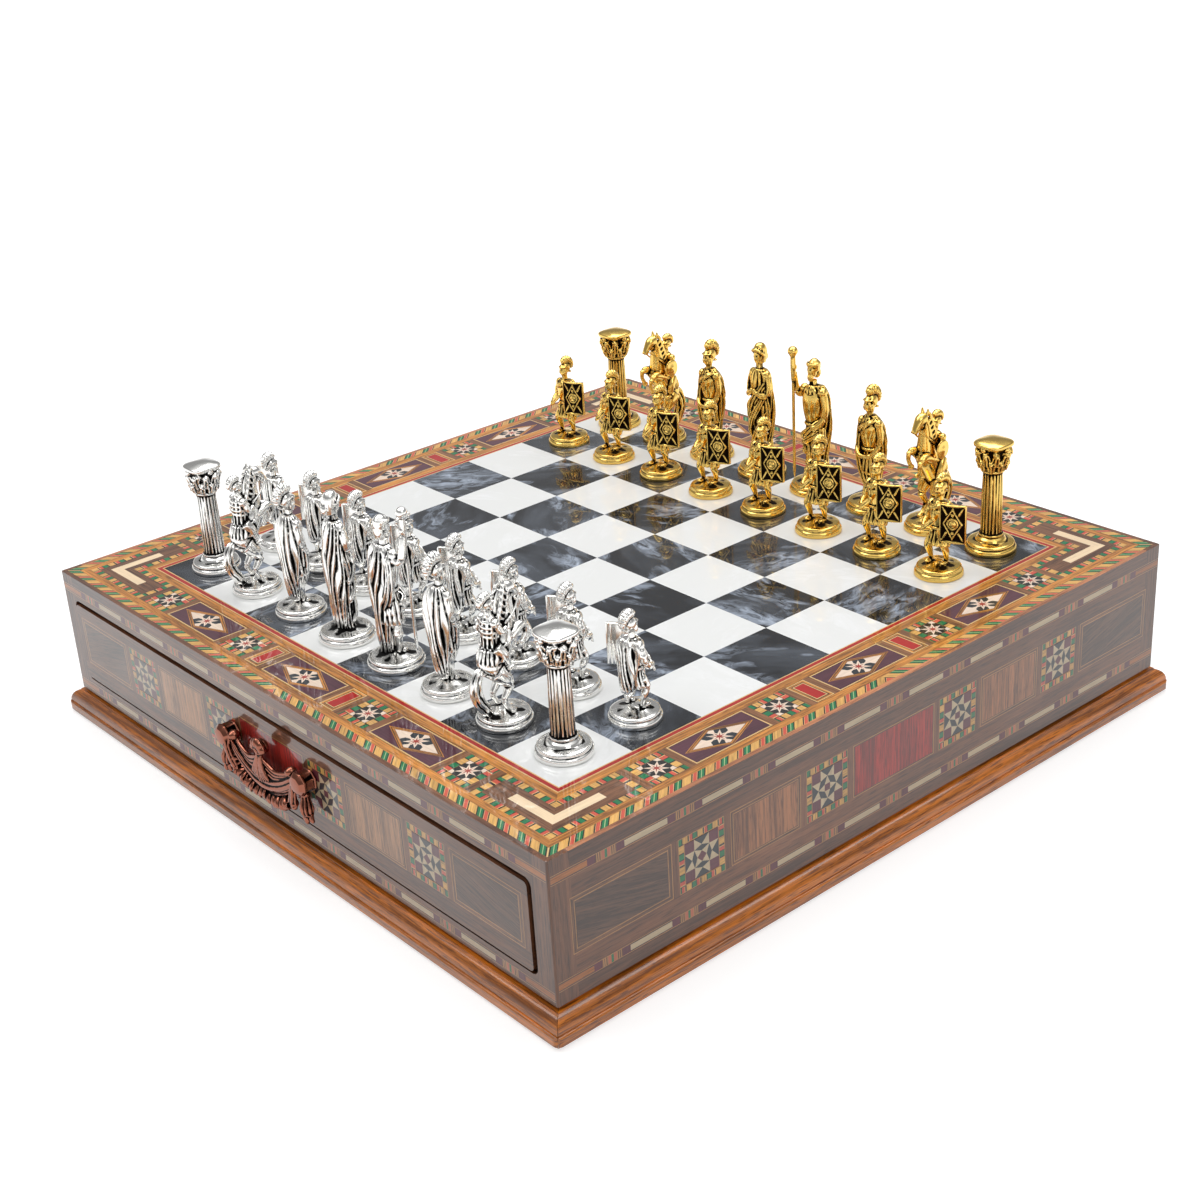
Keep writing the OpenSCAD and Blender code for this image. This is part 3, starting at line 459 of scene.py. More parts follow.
# strips: the height where a band starts, and its level
frontStrips = [(14.5, 0.92), (21.0, 0.95), (72.2, 0.9), (82.3, 1.0)]
# on the sides the last band, from 82.3 mm to the top, is a painted highlight along the rounded top edge;
# the other levels only make bands darker or lighter
sideBandsAndTopHighlight = [(14.5, 0.78), (21.2, 0.92), (25.4, 1.18), (34.9, 1.0), (61.3, 0.92), (75.2, 0.74),
              (82.3, 2.6)]
walnutFront = walnutMaterial("walnutFront", "x", 188.0, frontStrips)
walnutSide = walnutMaterial("walnutSide", "y", 400.0, sideBandsAndTopHighlight)
honeyWalnut = plainWood("honeyWalnut", (192, 114, 34), 1.0, 62.0, around=True)
satin = {"Coat Weight": 0.15, "Roughness": 0.5, "Coat Roughness": 0.3}
beech = {"tint": (204, 168, 122), "figure": 0.2, "size": 60.0, "settings": satin}
plywoodLook = plainWood("beechPlywood", **beech)
plywoodSides = plainWood("beechSides", **beech, along=(0, 1, 0))
marquetry = inlayMaterial()
pearlWhite = pearlMaterial("pearlWhite", (240, 241, 240), (250, 251, 252), 0.9)
pearlBlack = pearlMaterial("pearlBlack", (17, 20, 27), (186, 198, 216), 1.0)
silverPlate = metalMaterial("antiqueSilver", (246, 245, 242), (12, 11, 11), 0.15, 1.0, 0.06)
goldPlate = metalMaterial("antiqueGold", (246, 206, 112), (24, 15, 7), 0.16, 1.0, 0.08)
copperPlate = metalMaterial("antiqueCopper", (150, 94, 76), (9, 4, 4), 0.17, 1.0, 0.12)
steelLook = metalMaterial("zincScrew", (190, 190, 188), (60, 60, 60), 0.3, 0.5, 0.0)
greenFelt = feltMaterial("greenFelt", (38, 82, 52))
print("stage: materials")


def dress(material, *names):  # the CAD nodes that keep their own shape
    for name in names:
        nodes[name].data.materials.clear()
        nodes[name].data.materials.append(material)


dress(walnutFront, "front_frame", "back_frame", "front_drawer_face", "back_drawer_face")
dress(walnutSide, "left_wall", "right_wall")
dress(honeyWalnut, "base_moulding")
dress(plywoodLook, "top_board", "bottom_board", "drawer_stop_rail")
dress(plywoodSides, "drawer_runners", "drawer_kickers")
dress(greenFelt, "foot_pads")
for end in ("front", "back"):
    dress(plywoodSides, end + "_drawer_sides")
    dress(plywoodLook, end + "_drawer_back", end + "_drawer_bottom")
    dress(greenFelt, end + "_drawer_lining")
    dress(steelLook, end + "_pull_screws")

# ---- new pieces: every one takes the place of the CAD nodes it is named after


def newPiece(name, points, faces, material, body, replaced, layers=(), smooth=False):
    # layers: the name, domain and values of an attribute
    mesh = bpy.data.meshes.new(name)
    mesh.from_pydata((points * mm).tolist(), [], faces)
    for key, domain, values in layers:
        width = values.shape[1] if values.ndim == 2 else 1
        kind, channel = {1: ("FLOAT", "value"), 3: ("FLOAT_VECTOR", "vector"),
                         4: ("FLOAT_COLOR", "color")}[width]
        layer = mesh.attributes.new(key, kind, domain)
        layer.data.foreach_set(channel, values.astype(np.float32).ravel())
    if smooth:
        mesh.shade_smooth()
    mesh.materials.append(material)
    piece = placed(name, mesh)
    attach(piece, body)
    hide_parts(*replaced)
    return piece


def prisms(face, out, start=0):
    # outlines of n corners become prisms: n corners on the face, n corners at the depth, one
    # face, one back and n side walls
    count, n = face.shape[:2]
    points = np.concatenate([face, face - out * tileDepth], 1).reshape(-1, 3)
    base = start + np.arange(count)[:, None] * 2 * n
    i = np.arange(n)
    j = (i + 1) % n
    walls = np.stack([base + j, base + i, base + n + i, base + n + j], -1).reshape(-1, 4)
    return points, (base + i).tolist() + (base + n + i[::-1]).tolist() + walls.tolist()


def onFaces(values, n):  # one value for each prism's face, back and n walls
    return np.concatenate([values, values, np.repeat(values, n, axis=0)])


# ---- tiles: flat outlines with a tint, a grain direction and a strength of figure

tileDepth = 0.8
tints = {
    "gold": (190, 130, 60), "cream": (226, 196, 140), "brown": (128, 88, 58),
    "walnut": (112, 78, 56), "ivory": (246, 228, 198), "green": (18, 122, 78),
    "black": (26, 25, 26), "yellow": (222, 178, 104), "coral": (210, 92, 74),
    "red": (176, 24, 20), "purple": (84, 44, 62), "night": (34, 42, 52),
    "petal": (240, 226, 214), "rust": (164, 56, 44), "padauk": (166, 46, 40),
    "tan": (188, 142, 96), "bone": (214, 200, 172), "plum": (98, 40, 58),
    "rose": (200, 116, 92), "mint": (44, 124, 84), "lightWalnut": (158, 108, 76),
    "paleWalnut": (180, 136, 100), "darkWalnut": (92, 66, 52), "orange": (176, 112, 60),
    "pale": (168, 204, 150),
}
figures = {"gold": 0.85, "yellow": 0.4, "brown": 0.8, "walnut": 0.9, "padauk": 1.0, "purple": 0.3,
           "plum": 0.3, "lightWalnut": 1.0, "paleWalnut": 0.7, "darkWalnut": 1.0, "orange": 0.5, "tan": 0.3}
plainFigure = 0.15


def tile(tint, *outline, along=(1, 0)):
    return [(list(outline), tint, along)]


def rect(x0, y0, x1, y1, tint, along=(1, 0)):
    return tile(tint, (x0, y0), (x1, y0), (x1, y1), (x0, y1), along=along)


def moved(tiles, dx=0.0, dy=0.0, quarter=0):
    # turned by quarter turns about the unit's middle, then shifted
    c, s = [(1, 0), (0, 1), (-1, 0), (0, -1)][quarter % 4]
    return [([(c * u - s * v + dx, s * u + c * v + dy) for u, v in outline], tint,
             (c * along[0] - s * along[1], s * along[0] + c * along[1]), *lift)
            for outline, tint, along, *lift in tiles]


def mirroredTiles(tiles):
    return tiles + [([(-u, v) for u, v in outline], tint, (-along[0], along[1]), *lift)
                    for outline, tint, along, *lift in tiles]


def bothSides(tiles, x, y):
    return moved(tiles, -x, y) + moved(tiles, x, y)


def allRound(tiles):  # a quarter of a pattern, four times
    return [t for q in range(4) for t in moved(tiles, quarter=q)]


def ring(w, h, t, tint):
    # four mitred strips round a rectangle of outer size w by h
    a, b, c, d = w / 2, h / 2, w / 2 - t, h / 2 - t
    flat = tile(tint, (-a, -b), (a, -b), (c, -d), (-c, -d))
    upright = tile(tint, (a, -b), (a, b), (c, d), (c, -d), along=(0, 1))
    return flat + upright + moved(flat, quarter=2) + moved(upright, quarter=2)


def framed(w, h, lines, tint, along=(1, 0)):
    # fine lines inside each other round a panel
    tiles = []
    for width, name in lines:
        tiles += ring(w, h, width, name)
        w, h = w - 2 * width, h - 2 * width
    return tiles + rect(-w / 2, -h / 2, w / 2, h / 2, tint, along)


dashLook = {  # one repeat of a ring of dashes, in widths along the strip
    "run": [("green", 2.3), ("black", 0.4), ("coral", 1.6), ("cream", 0.35), ("black", 0.8),
            ("yellow", 3.1),
            ("black", 0.55)],
    "least": 0.02,  # narrower remains are left out
}


def dashStrip(x0, x1, y0, y1, start):
    # rectangles side by side from x0 to x1, a whole number of repeats that begin at a share of one
    repeat = sum(width for _, width in dashLook["run"])
    count = max(1, round((x1 - x0) / repeat))
    scale = (x1 - x0) / (count * repeat)
    tiles, at = [], x0 - start * repeat * scale
    for tint, width in dashLook["run"] * (count + 1):
        a, b = max(at, x0), min(at + width * scale, x1)
        if b - a > dashLook["least"]:
            tiles += rect(a, y0, b, y1, tint, (0, 1))
        at += width * scale
    return tiles


def dashRing(w, h, t, edge="brown"):
    # two long strips and two short ones between them, with a fine line inside and outside
    line = 0.3
    tiles = ring(w, h, line, edge) + ring(w - 2 * (t - line), h - 2 * (t - line), line, edge)
    a, b, n = w / 2 - line, h / 2 - line, t - 2 * line
    strip = dashStrip(-a, a, -b, -b + n, 0.2)
    short = dashStrip(-b + n, b - n, -a, -a + n, 0.55)
    return tiles + strip + moved(strip, quarter=2) + moved(short, quarter=1) + moved(short, quarter=3)


def layered(tiles, lift):  # raised a little over the tiles below
    return [(outline, tint, along, lift) for outline, tint, along in tiles]


def polar(r, degrees):
    return (r * math.cos(math.radians(degrees)), r * math.sin(math.radians(degrees)))


def kites(r, waist, tint):  # eight of them, from the middle outwards
    return [t for a in range(0, 360, 45)
            for t in tile(tint, (0, 0), polar(waist, a - 22.5), polar(r, a), polar(waist, a + 22.5),
                          along=polar(1, a))]


def petals(r, waist, lift):
    # eight petals whose waists touch, and a small star of eight kites on them
    return layered(kites(r, waist, "petal"), lift) + layered(kites(r * 0.6, waist * 0.36, "rust"),
                                                             lift + 0.02)


borderLook = {
    "rosette": 19.8, "ring": 4.0, "diamond": (44.4, 19.0), "rhombus": (40.0, 17.4), "bar": (10.8, 19.0),
}


def rosetteUnit():
    # ring of dashes round a black square with white corners, an eight-petalled star
    w = borderLook["rosette"]
    r = w / 2 - borderLook["ring"]
    k, d = r * 0.56, r * 0.66
    corners = layered(allRound(tile("petal", (r, r), (k, r), (d, d), (r, k))), 0.02)
    return (dashRing(w, w, borderLook["ring"]) + rect(-r, -r, r, r, "black") + corners
            + petals(r * 0.97, r * 0.40, 0.02))


def rhombusRing(l, h, t, tint):
    # four strips of width t inside a rhombus with diagonals l and h
    k = 1 - t * math.hypot(l, h) * 2 / (l * h)
    outer = [(l / 2, 0), (0, h / 2), (-l / 2, 0), (0, -h / 2)]
    tiles = []
    for (ax, ay), (bx, by) in zip(outer, outer[1:] + outer[:1]):
        length = math.hypot(bx - ax, by - ay)
        tiles += tile(tint, (ax, ay), (bx, by), (bx * k, by * k), (ax * k, ay * k),
                      along=((bx - ax) / length, (by - ay) / length))
    return tiles, l * k, h * k


def diamondUnit():
    # purple panel with a cream line, a striped golden rhombus, and a star on white
    w, h = borderLook["diamond"]
    l, s = borderLook["rhombus"]
    tiles = ring(w, h, 0.7, "cream")
    a, b = w / 2 - 0.7, h / 2 - 0.7
    signs = [(sx, sy) for sx in (-1, 1) for sy in (-1, 1)]
    for sx, sy in signs:
        tiles += tile("purple", (sx * a, 0), (sx * a, sy * b), (0, sy * b), (0, sy * s / 2),
                      (sx * l / 2, 0))
    for width, tint in ((0.45, "gold"), (0.3, "black"), (0.85, "gold"), (0.25, "brown")):
        strips, l, s = rhombusRing(l, s, width, tint)
        tiles += strips
    tiles += tile("petal", (l / 2, 0), (0, s / 2), (-l / 2, 0), (0, -s / 2))
    x0, x1 = 2.0, 7.2
    y0, y1 = (s / 2 * (1 - x / (l / 2)) for x in (x0, x1))  # on the rhombus's edge
    for sx, sy in signs:
        tiles += layered(tile("night", (sx * x0, sy * y0), (sx * x1, sy * y1), (sx * 6.2, sy * 1.2),
                              (sx * 2.6, 0), (0, sy * 2.6)), 0.02)
    return tiles + petals(5.9, 2.5, 0.04)


def barUnit():
    # padauk bar in a frame of cream, gold and black lines
    lines = [(0.5, "cream"), (1.1, "gold"), (0.4, "black"), (0.5, "cream")]
    return framed(*borderLook["bar"], lines, "red", (0, 1))


def orient(points):  # sets every outline the right way round, by the sign of its area
    area = sum(a[0] * b[1] - b[0] * a[1] for a, b in zip(points, points[1:] + points[:1]))
    return points if area > 0 else points[::-1]


def tilePiece(name, sheets, body, replaced):
    # sheets: (tiles, origin, right, up)
    groups = {}
    for tiles, start, right, up in sheets:
        right, up = np.array(right, float), np.array(up, float)
        out = np.cross(right, up)
        for outline, tint, along, *lift in tiles:
            flat = np.array(orient(outline))
            place = start + flat[:, :1] * right + flat[:, 1:] * up + out * (lift[0] if lift else 0)
            groups.setdefault(len(flat), []).append(
                (place, out, rgba(tints[tint]), along[0] * right + along[1] * up,
                 figures.get(tint, plainFigure)))
    points, faces, rows, start = [], [], [], 0
    for n, tiles in groups.items():
        face, out, *values = (np.array(column) for column in zip(*tiles))
        corners, walls = prisms(face, out[:, None], start)
        points.append(corners)
        faces += walls
        rows.append([onFaces(value, n) for value in values])
        start += len(corners)
    layers = [(key, "FACE", np.concatenate(column)) for key,
              column in zip(("tint", "along", "figure"), zip(*rows))]
    newPiece(name, np.concatenate(points), faces, marquetry, body, [replaced], layers)


def topSheets(tiles):  # the same band of tiles on all four sides of the board
    axes = [(1, 0, 0), (0, 1, 0), (-1, 0, 0), (0, -1, 0), (1, 0, 0)]
    return [(tiles, (0, 0, boardTop), right, up) for right, up in zip(axes, axes[1:])]


# ---- the board: squares, lines and border

squareLook = {"side": 40.0, "count": 8, "seed": 11}


def squarePiece(name, shade, material):
    side, n = squareLook["side"], squareLook["count"]
    col, row = np.meshgrid(np.arange(n), np.arange(n), indexing="ij")
    keep = (col + row) % 2 == shade
    low = (np.stack([col[keep], row[keep]], -1) - n / 2) * side
    face = low[:, None] + np.array([(0, 0), (1, 0), (1, 1), (0, 1)]) * side
    face = np.concatenate([face, np.full((len(low), 4, 1), boardTop)], -1)
    points, faces = prisms(face, np.array([0, 0, 1]))
    seed = np.random.default_rng(squareLook["seed"] + shade).random(len(low))
    newPiece(name, points, faces, material, "casing", [name],
             [("seed", "FACE", onFaces(seed, 4))])


squarePiece("light_squares", 1, pearlWhite)
squarePiece("dark_squares", 0, pearlBlack)

topLook = {  # half widths of the bands, from the squares outwards
    "lines": [(160.0, 160.6, "cream"), (160.6, 162.6, "red"), (162.6, 163.2, "cream")],
    "innerGold": (163.2, 167.8), "band": (167.8, 187.6), "outerGold": (187.6, 191.8),
    "rope": (191.8, 196.4), "diamonds": 86.58, "bars": 31.46, "rosettes": (50.62, 122.54),
    "strips": [(22.2, 26.06), (36.86, 40.72), (60.52, 64.38), (108.78, 112.64), (132.44, 136.3)],
}
cornerLook = {"start": 136.3, "ring": 3.4, "chevron": (175.0, 180.0), "chevronStart": 151.7,
              "dashes": (0.566, 0.1)}
ropeLook = {  # stripes from the middle of a side to its corner, in widths along the edge
    "first": [("coral", 2.4), ("cream", 0.3), ("black", 0.75), ("yellow", 5.0)],
    "run": [("black", 0.7), ("green", 1.35), ("pale", 0.5), ("green", 1.35), ("black", 0.7),
            ("cream", 0.3),
            ("coral", 2.1), ("cream", 0.3), ("black", 0.75), ("yellow", 5.0)],
    "repeats": 14,
    "last": [("black", 0.7), ("green", 1.35), ("pale", 0.5), ("green", 1.35), ("black", 0.85),
             ("cream", 0.5)],
}


def mitred(inner, outer, tint):
    # trapezoid on the front side between two half widths, its ends on the diagonals
    return tile(tint, (-outer, -outer), (outer, -outer), (inner, -inner), (-inner, -inner))


def cornerHalf():
    # the half of a corner block on this side: dashes outside, at the end and inside, walnut
    # between them and one arm of the ivory chevron, all cut on the diagonal
    a, t, s = cornerLook["start"], cornerLook["ring"], cornerLook["chevronStart"]
    long, short = cornerLook["dashes"]
    inner, outer = topLook["band"]
    low, high = outer - t, inner + t
    c0, c1 = cornerLook["chevron"]
    dashes = dashStrip(a, low, -outer, -low, long) + dashStrip(a, high - t, -high, -inner, long)
    dashes += moved(dashStrip(high, low, -a - t, -a, short), quarter=3)
    squares = rect(low, -outer, outer, -low, "yellow") + rect(high - t, -high, high, -inner, "yellow")
    walnut = (tile("walnut", (a + t, -low), (low, -low), (c1, -c1), (a + t, -c1))
              + tile("walnut", (a + t, -c1), (s, -c1), (s, -c0), (a + t, -c0))
              + tile("walnut", (a + t, -c0), (c0, -c0), (high, -high), (a + t, -high)))
    return dashes, squares, walnut, tile("ivory", (s, -c1), (c1, -c1), (c0, -c0), (s, -c0))


def ropeTiles():
    # stripes parallel to the corner's diagonal, cut off where they meet the middle of the side
    inner, outer = topLook["rope"]
    rise = outer - inner
    row = ropeLook["first"] + ropeLook["run"] * ropeLook["repeats"] + ropeLook["last"]
    ends = np.cumsum([0, *(width for _, width in row)])
    ends *= outer / ends[-1]

    def top(u):  # where a stripe's edge line ends
        return (u - rise, -inner) if u > rise else (0, u - outer)

    tiles = []
    for (tint, _), u0, u1 in zip(row, ends, ends[1:]):
        outline = [(u0, -outer), (u1, -outer), top(u1)]
        if u1 > rise > u0:
            outline.append((0, -inner))
        if u0 > 0:
            outline.append(top(u0))
        tiles += tile(tint, *outline, along=(-0.707, 0.707))
    return tiles


inner, outer = topLook["band"]
middle = -(inner + outer) / 2
strips = [t for x0, x1 in topLook["strips"] for t in rect(x0, -outer, x1, -inner, "brown", (0, 1))]
diamond, rosette = diamondUnit(), rosetteUnit()
near, far = topLook["rosettes"]
cornerDashes, cornerSquares, cornerWalnut, cornerArm = cornerHalf()
for name, tiles, slot in (
        ("field_lines", [t for line in topLook["lines"] for t in mitred(*line)], "ivory_veneer"),
        ("border_ground", mitred(*topLook["innerGold"], "gold") + mitred(*topLook["outerGold"], "gold")
         + mirroredTiles(strips) + mirroredTiles(cornerWalnut), "golden_veneer"),
        ("border_diamonds", bothSides(diamond, topLook["diamonds"], middle) + moved(diamond, 0, middle),
         "purpleheart_veneer"),
        ("border_rosettes", bothSides(rosette, near, middle) + bothSides(rosette, far, middle),
         "coloured_veneer"),
        ("border_bars", bothSides(barUnit(), topLook["bars"], middle), "padauk_veneer"),
        # the two squares of a corner belong to one side only
        ("corner_frames", cornerSquares + mirroredTiles(cornerDashes), "coloured_veneer"),
        ("corner_chevrons", mirroredTiles(cornerArm), "ivory_veneer"),
        ("rope_band", mirroredTiles(ropeTiles()), "coloured_veneer")):
    tilePiece(name + "_inlay", topSheets(tiles), "casing", name)
print("stage: board")

# ---- inlays of the faces: a row of panels and stars, and the dash bands

faceLook = {
    "middle": (54.2, 26.4), "light": (42.0, 81.25), "endStart": 135.4, "sideEnd": 53.8, "drawerEnd": 46.8,
    "starPlaces": (43.675, 118.825), "star": (26.0,
                                              26.4), "ring": 3.4, "rowMiddle": 48.1, "slant": 0.24,
    "casing": 199.0, "drawers": 199.8,  # distances of the faces from the middle
}
dashLine = {
    "tall": 4.4, "pitch": 42.4, "reach": 197.8, "groups": 4, "line": 0.32, "bar": 1.35,
    # the coloured group of a dash band, from its middle outwards
    "half": [("mint", 0.65), ("rose", 1.6), ("tan", 0.6), ("darkWalnut", 0.5), ("tan", 0.6),
             ("darkWalnut", 0.4),
             ("tan", 0.6), ("walnut", 0.55), ("plum", 4.2)],
}


def starInside(turned):
    # one quarter of the star square, four times; turned picks the pattern with the turned centre
    h, c, p = 9.5, 4.2, 5.6
    quarter = (tile("plum", (c, -h), (h, -h), (h, -c), (c, -c)) + tile("night", (-c, -h), (c, -h),
                                                                       (0, -p))
               + tile("bone", (-c, -h), (0, -p), (-c, -c), along=(0, 1))
               + tile("bone", (c, -h), (c, -c), (0, -p), along=(0, 1)))
    if turned:
        m = 1.7
        quarter += (tile("bone", (-m, -m), (m, -m), (0, -p), along=(0, 1))
                    + tile("night", (0, -p), (c, -c), (p, 0), (m, -m)))
        return allRound(quarter) + rect(-m, -m, m, m, "plum")
    m = 2.6
    quarter += (tile("night", (-c, -c), (0, -p), (c, -c), (0, -m))
                + tile("bone", (-c, -c), (0, -m), (-m, 0), along=(0, 1)))
    return allRound(quarter) + tile("plum", (-m, 0), (0, -m), (m, 0), (0, m))


def starTiles():
    edge = dashRing(*faceLook["star"], faceLook["ring"], "tan") + ring(19.2, 19.6, 0.1, "tan")
    return [t for x, turned in zip(faceLook["starPlaces"], (True, False))
            for t in bothSides(edge + starInside(turned), x, faceLook["rowMiddle"])]


def panelTiles(endWidth, pale):
    w, h = faceLook["middle"]
    y, slant = faceLook["rowMiddle"], faceLook["slant"] * (-1 if pale else 1)
    lines = lambda wide: [(0.4, "tan"), (wide, "walnut"), (0.45, "tan"), (0.3, "darkWalnut")]
    tiles = moved(framed(w, h, [(0.5, "tan"), (0.5, "darkWalnut")], "padauk", (0, 1)), 0, y)
    lightW, lightX = faceLook["light"]
    tiles += bothSides(framed(lightW, h, lines(1.0), "paleWalnut" if pale else "lightWalnut", (0, 1)),
                       lightX, y)
    for s in (-1, 1):
        end = framed(endWidth, h, lines(1.5), "darkWalnut", (0.97, slant * s))
        tiles += moved(end, s * (faceLook["endStart"] + endWidth / 2), y)
    return tiles


def dashTiles():
    # full-length fine lines above and below; bars of ivory and coloured groups between them
    reach, count, pitch, bar = (dashLine[key] for key in ("reach", "groups", "pitch", "bar"))
    tall = dashLine["tall"] / 2
    core = tall - dashLine["line"]
    tiles = [t for s in (-1, 1) for t in rect(-reach, s * tall, reach, s * core, "tan")]
    (tint, at), *rest = dashLine["half"]
    group = rect(-at, -core, at, core, tint, (0, 1))
    for tint, width in rest:
        group += mirroredTiles(rect(at, -core, at + width, core, tint, (0, 1)))
        at += width
    for i in range(-count, count + 1):
        tiles += moved(group, i * pitch)
    bars = [(i * pitch + at, (i + 1) * pitch - at, "bone") for i in range(-count, count)]
    last = count * pitch + at
    for x0, x1, tint in [*bars, (last, reach, "orange"), (-reach, -last, "orange")]:
        tiles += rect(x0, -bar, x1, bar, tint)
        tiles += [t for s in (-1, 1) for t in rect(x0, s * bar, x1, s * core, "darkWalnut")]
    return tiles


sides = {"front": (1, 0, 0), "right": (0, 1, 0), "back": (-1, 0, 0), "left": (0, -1, 0)}  # to the right


def faceSheet(tiles, side, distance, z=0.0):
    right, up = sides[side], (0, 0, 1)
    return (tiles, np.cross(right, up) * distance + [0, 0, z], right, up)


dashes, stars, panels = dashTiles(), starTiles(), panelTiles(faceLook["sideEnd"], False)
half = faceLook["casing"]
bands = [faceSheet(dashes, side, half, z) for pair, heights in
         ((("right", "left"), (73.0, 23.4)), (("front", "back"),
                                              (74.7, 18.7))) for side in pair for z in heights]
tilePiece("dash_bands_inlay", bands, "casing", "dash_bands")
for part, tiles, slot in (("stars", stars, "coloured_veneer"), ("panels", panels, "padauk_veneer")):
    tilePiece(f"side_{part}_inlay", [faceSheet(tiles, s, half) for s in ("right", "left")], "casing",
              "side_" + part)
drawerPanels = panelTiles(faceLook["drawerEnd"], True)
for side in ("front", "back"):
    for part, tiles, slot in (("stars", stars, "coloured_veneer"),
                              ("panels", drawerPanels, "padauk_veneer")):
        tilePiece(f"{side}_drawer_{part}_inlay", [faceSheet(tiles, side, faceLook["drawers"])],
                  side + "_drawer",
                  f"{side}_drawer_{part}")
print("stage: faces")

# ---- the men: each form is a grid of points from a function of two parameters; the forms of
# one figure are fused and thinned once and then copied to every square it stands on


def smoothRows(rows, steps):
    # Catmull-Rom curve through every row of numbers
    p = np.array(rows, float)
    p = np.concatenate([2 * p[:1] - p[1:2], p, 2 * p[-1:] - p[-2:-1]])
    t = np.linspace(0, len(rows) - 1, steps)
    i = np.minimum(t.astype(int), len(rows) - 2)
    f = (t - i)[:, None]
    a, b, c, d = p[i], p[i + 1], p[i + 2], p[i + 3]
    return 0.5 * (2 * b + (c - a) * f + (2 * a - 5 * b + 4 * c - d) * f ** 2
                  + (3 * b - a - 3 * c + d) * f ** 3)


def pleats(phase, depth):  # rounded ridges with sharp valleys between them
    return 1 + depth * (2 * np.abs(np.cos(phase)) - 1)


def oval(rows, folds=0, depth=0.0, twist=0.0, steps=40, sides=48, sway=0.0, x=0.0):
    # rows of height, half width, half depth and y; the ring at each height is an ellipse whose
    # radius is pleated by folds times the angle plus twist times the height, and sway bends the
    # folds and lets them swell and fade as cloth does
    r = smoothRows([(*row, 0.0)[:4] for row in rows], steps)
    turn = np.linspace(0, 2 * np.pi, sides, endpoint=False)
    z = r[:, :1]
    bend = sway * (np.sin(2 * turn + 0.13 * z) + 0.6 * np.sin(3 * turn - 0.09 * z + 1))
    swell = 1 + sway * 0.45 * np.sin(2 * turn - 0.21 * z + 2)
    grow = pleats(folds * turn / 2 + twist * z + bend, depth * swell) if folds else 1.0
    return np.stack([x + r[:, 1:2] * grow * np.cos(turn), r[:, 3:4] + r[:, 2:3] * grow * np.sin(turn),
                     z + 0 * turn], -1)


def tube(points, radii, folds=0, depth=0.0, twist=0.0, ripples=0, swell=0.0, flat=1.0, steps=26,
         sides=14):
    # ring of radius r round a smooth path, in the plane of side and front; flat squeezes it,
    # folds groove it lengthwise and ripples ring it crosswise; both ends are rounded
    rows = smoothRows([(*p, r) for p, r in zip(points, radii)], steps)
    path, r = rows[:, :3], rows[:, 3]
    ahead = np.gradient(path, axis=0)
    ahead /= np.linalg.norm(ahead, axis=1, keepdims=True)
    hint = np.array([1.0, 0, 0]) if abs(ahead[:, 0]).mean() < 0.7 else np.array([0, 0, 1.0])
    front = np.cross(ahead, hint)
    front /= np.linalg.norm(front, axis=1, keepdims=True)
    side = np.cross(front, ahead)
    t = np.linspace(0, 1, steps)
    round_ = np.sqrt(np.clip(1 - np.clip(1 - np.minimum(t, 1 - t) / 0.09, 0, 1) ** 2, 0.02, 1))
    r = r * round_ * pleats(ripples * np.pi * t, swell)
    turn = np.linspace(0, 2 * np.pi, sides, endpoint=False)
    grow = pleats(folds * turn / 2 + twist * t[:, None], depth) if folds else 1.0
    around = (side[:, None] * np.cos(turn)[:, None] + front[:, None] * (np.sin(turn) * flat)[:, None])
    return path[:, None] + around * (r[:, None] * grow)[..., None]


def ball(place, radii, box=1.0):
    # ellipsoid from latitude and longitude; box under 1 squares it up
    up = np.linspace(-1.5, 1.5, 16)[:, None]
    around = np.linspace(0, 2 * np.pi, 24, endpoint=False)
    power = lambda v: np.sign(v) * np.abs(v) ** box
    x = radii[0] * power(np.cos(up)) * power(np.cos(around))
    y = radii[1] * power(np.cos(up)) * power(np.sin(around))
    return np.stack([place[0] + x, place[1] + y,
                     place[2] + radii[2] * power(np.sin(up)) + 0 * around], -1)


def baseForm(d):
    # revolved profile of height and radius: low drum, groove, tier and flat top that rises to the figure
    r = d / 2
    rows = [(0.0, r * 0.98), (0.3, r), (1.4, r * 1.003), (2.4, r * 0.985), (2.85, r * 0.95),
            (3.0, r * 0.885),
            (3.25, r * 0.88), (3.5, r * 0.925), (4.5, r * 0.91), (4.9, r * 0.88), (5.05,
                                                                                   r * 0.83), (5.15,
                                                                                               r * 0.77),
            (5.35, r * 0.62), (5.8, r * 0.46), (6.5, r * 0.28), (6.8, r * 0.12)]
    profile = smoothRows(rows, 76)
    turn = np.linspace(0, 2 * np.pi, 84, endpoint=False)
    uneven = 1 + 0.007 * np.cos(3 * turn + 1) + 0.005 * np.cos(7 * turn)
    z, k = profile[:, :1], profile[:, 1:2]
    dents = 0.12 * np.sin(2 * turn) * np.sin(5 * turn + 1) * (z > 4.6)
    return np.stack([k * uneven * np.cos(turn), k * uneven * np.sin(turn), z + dents], -1)


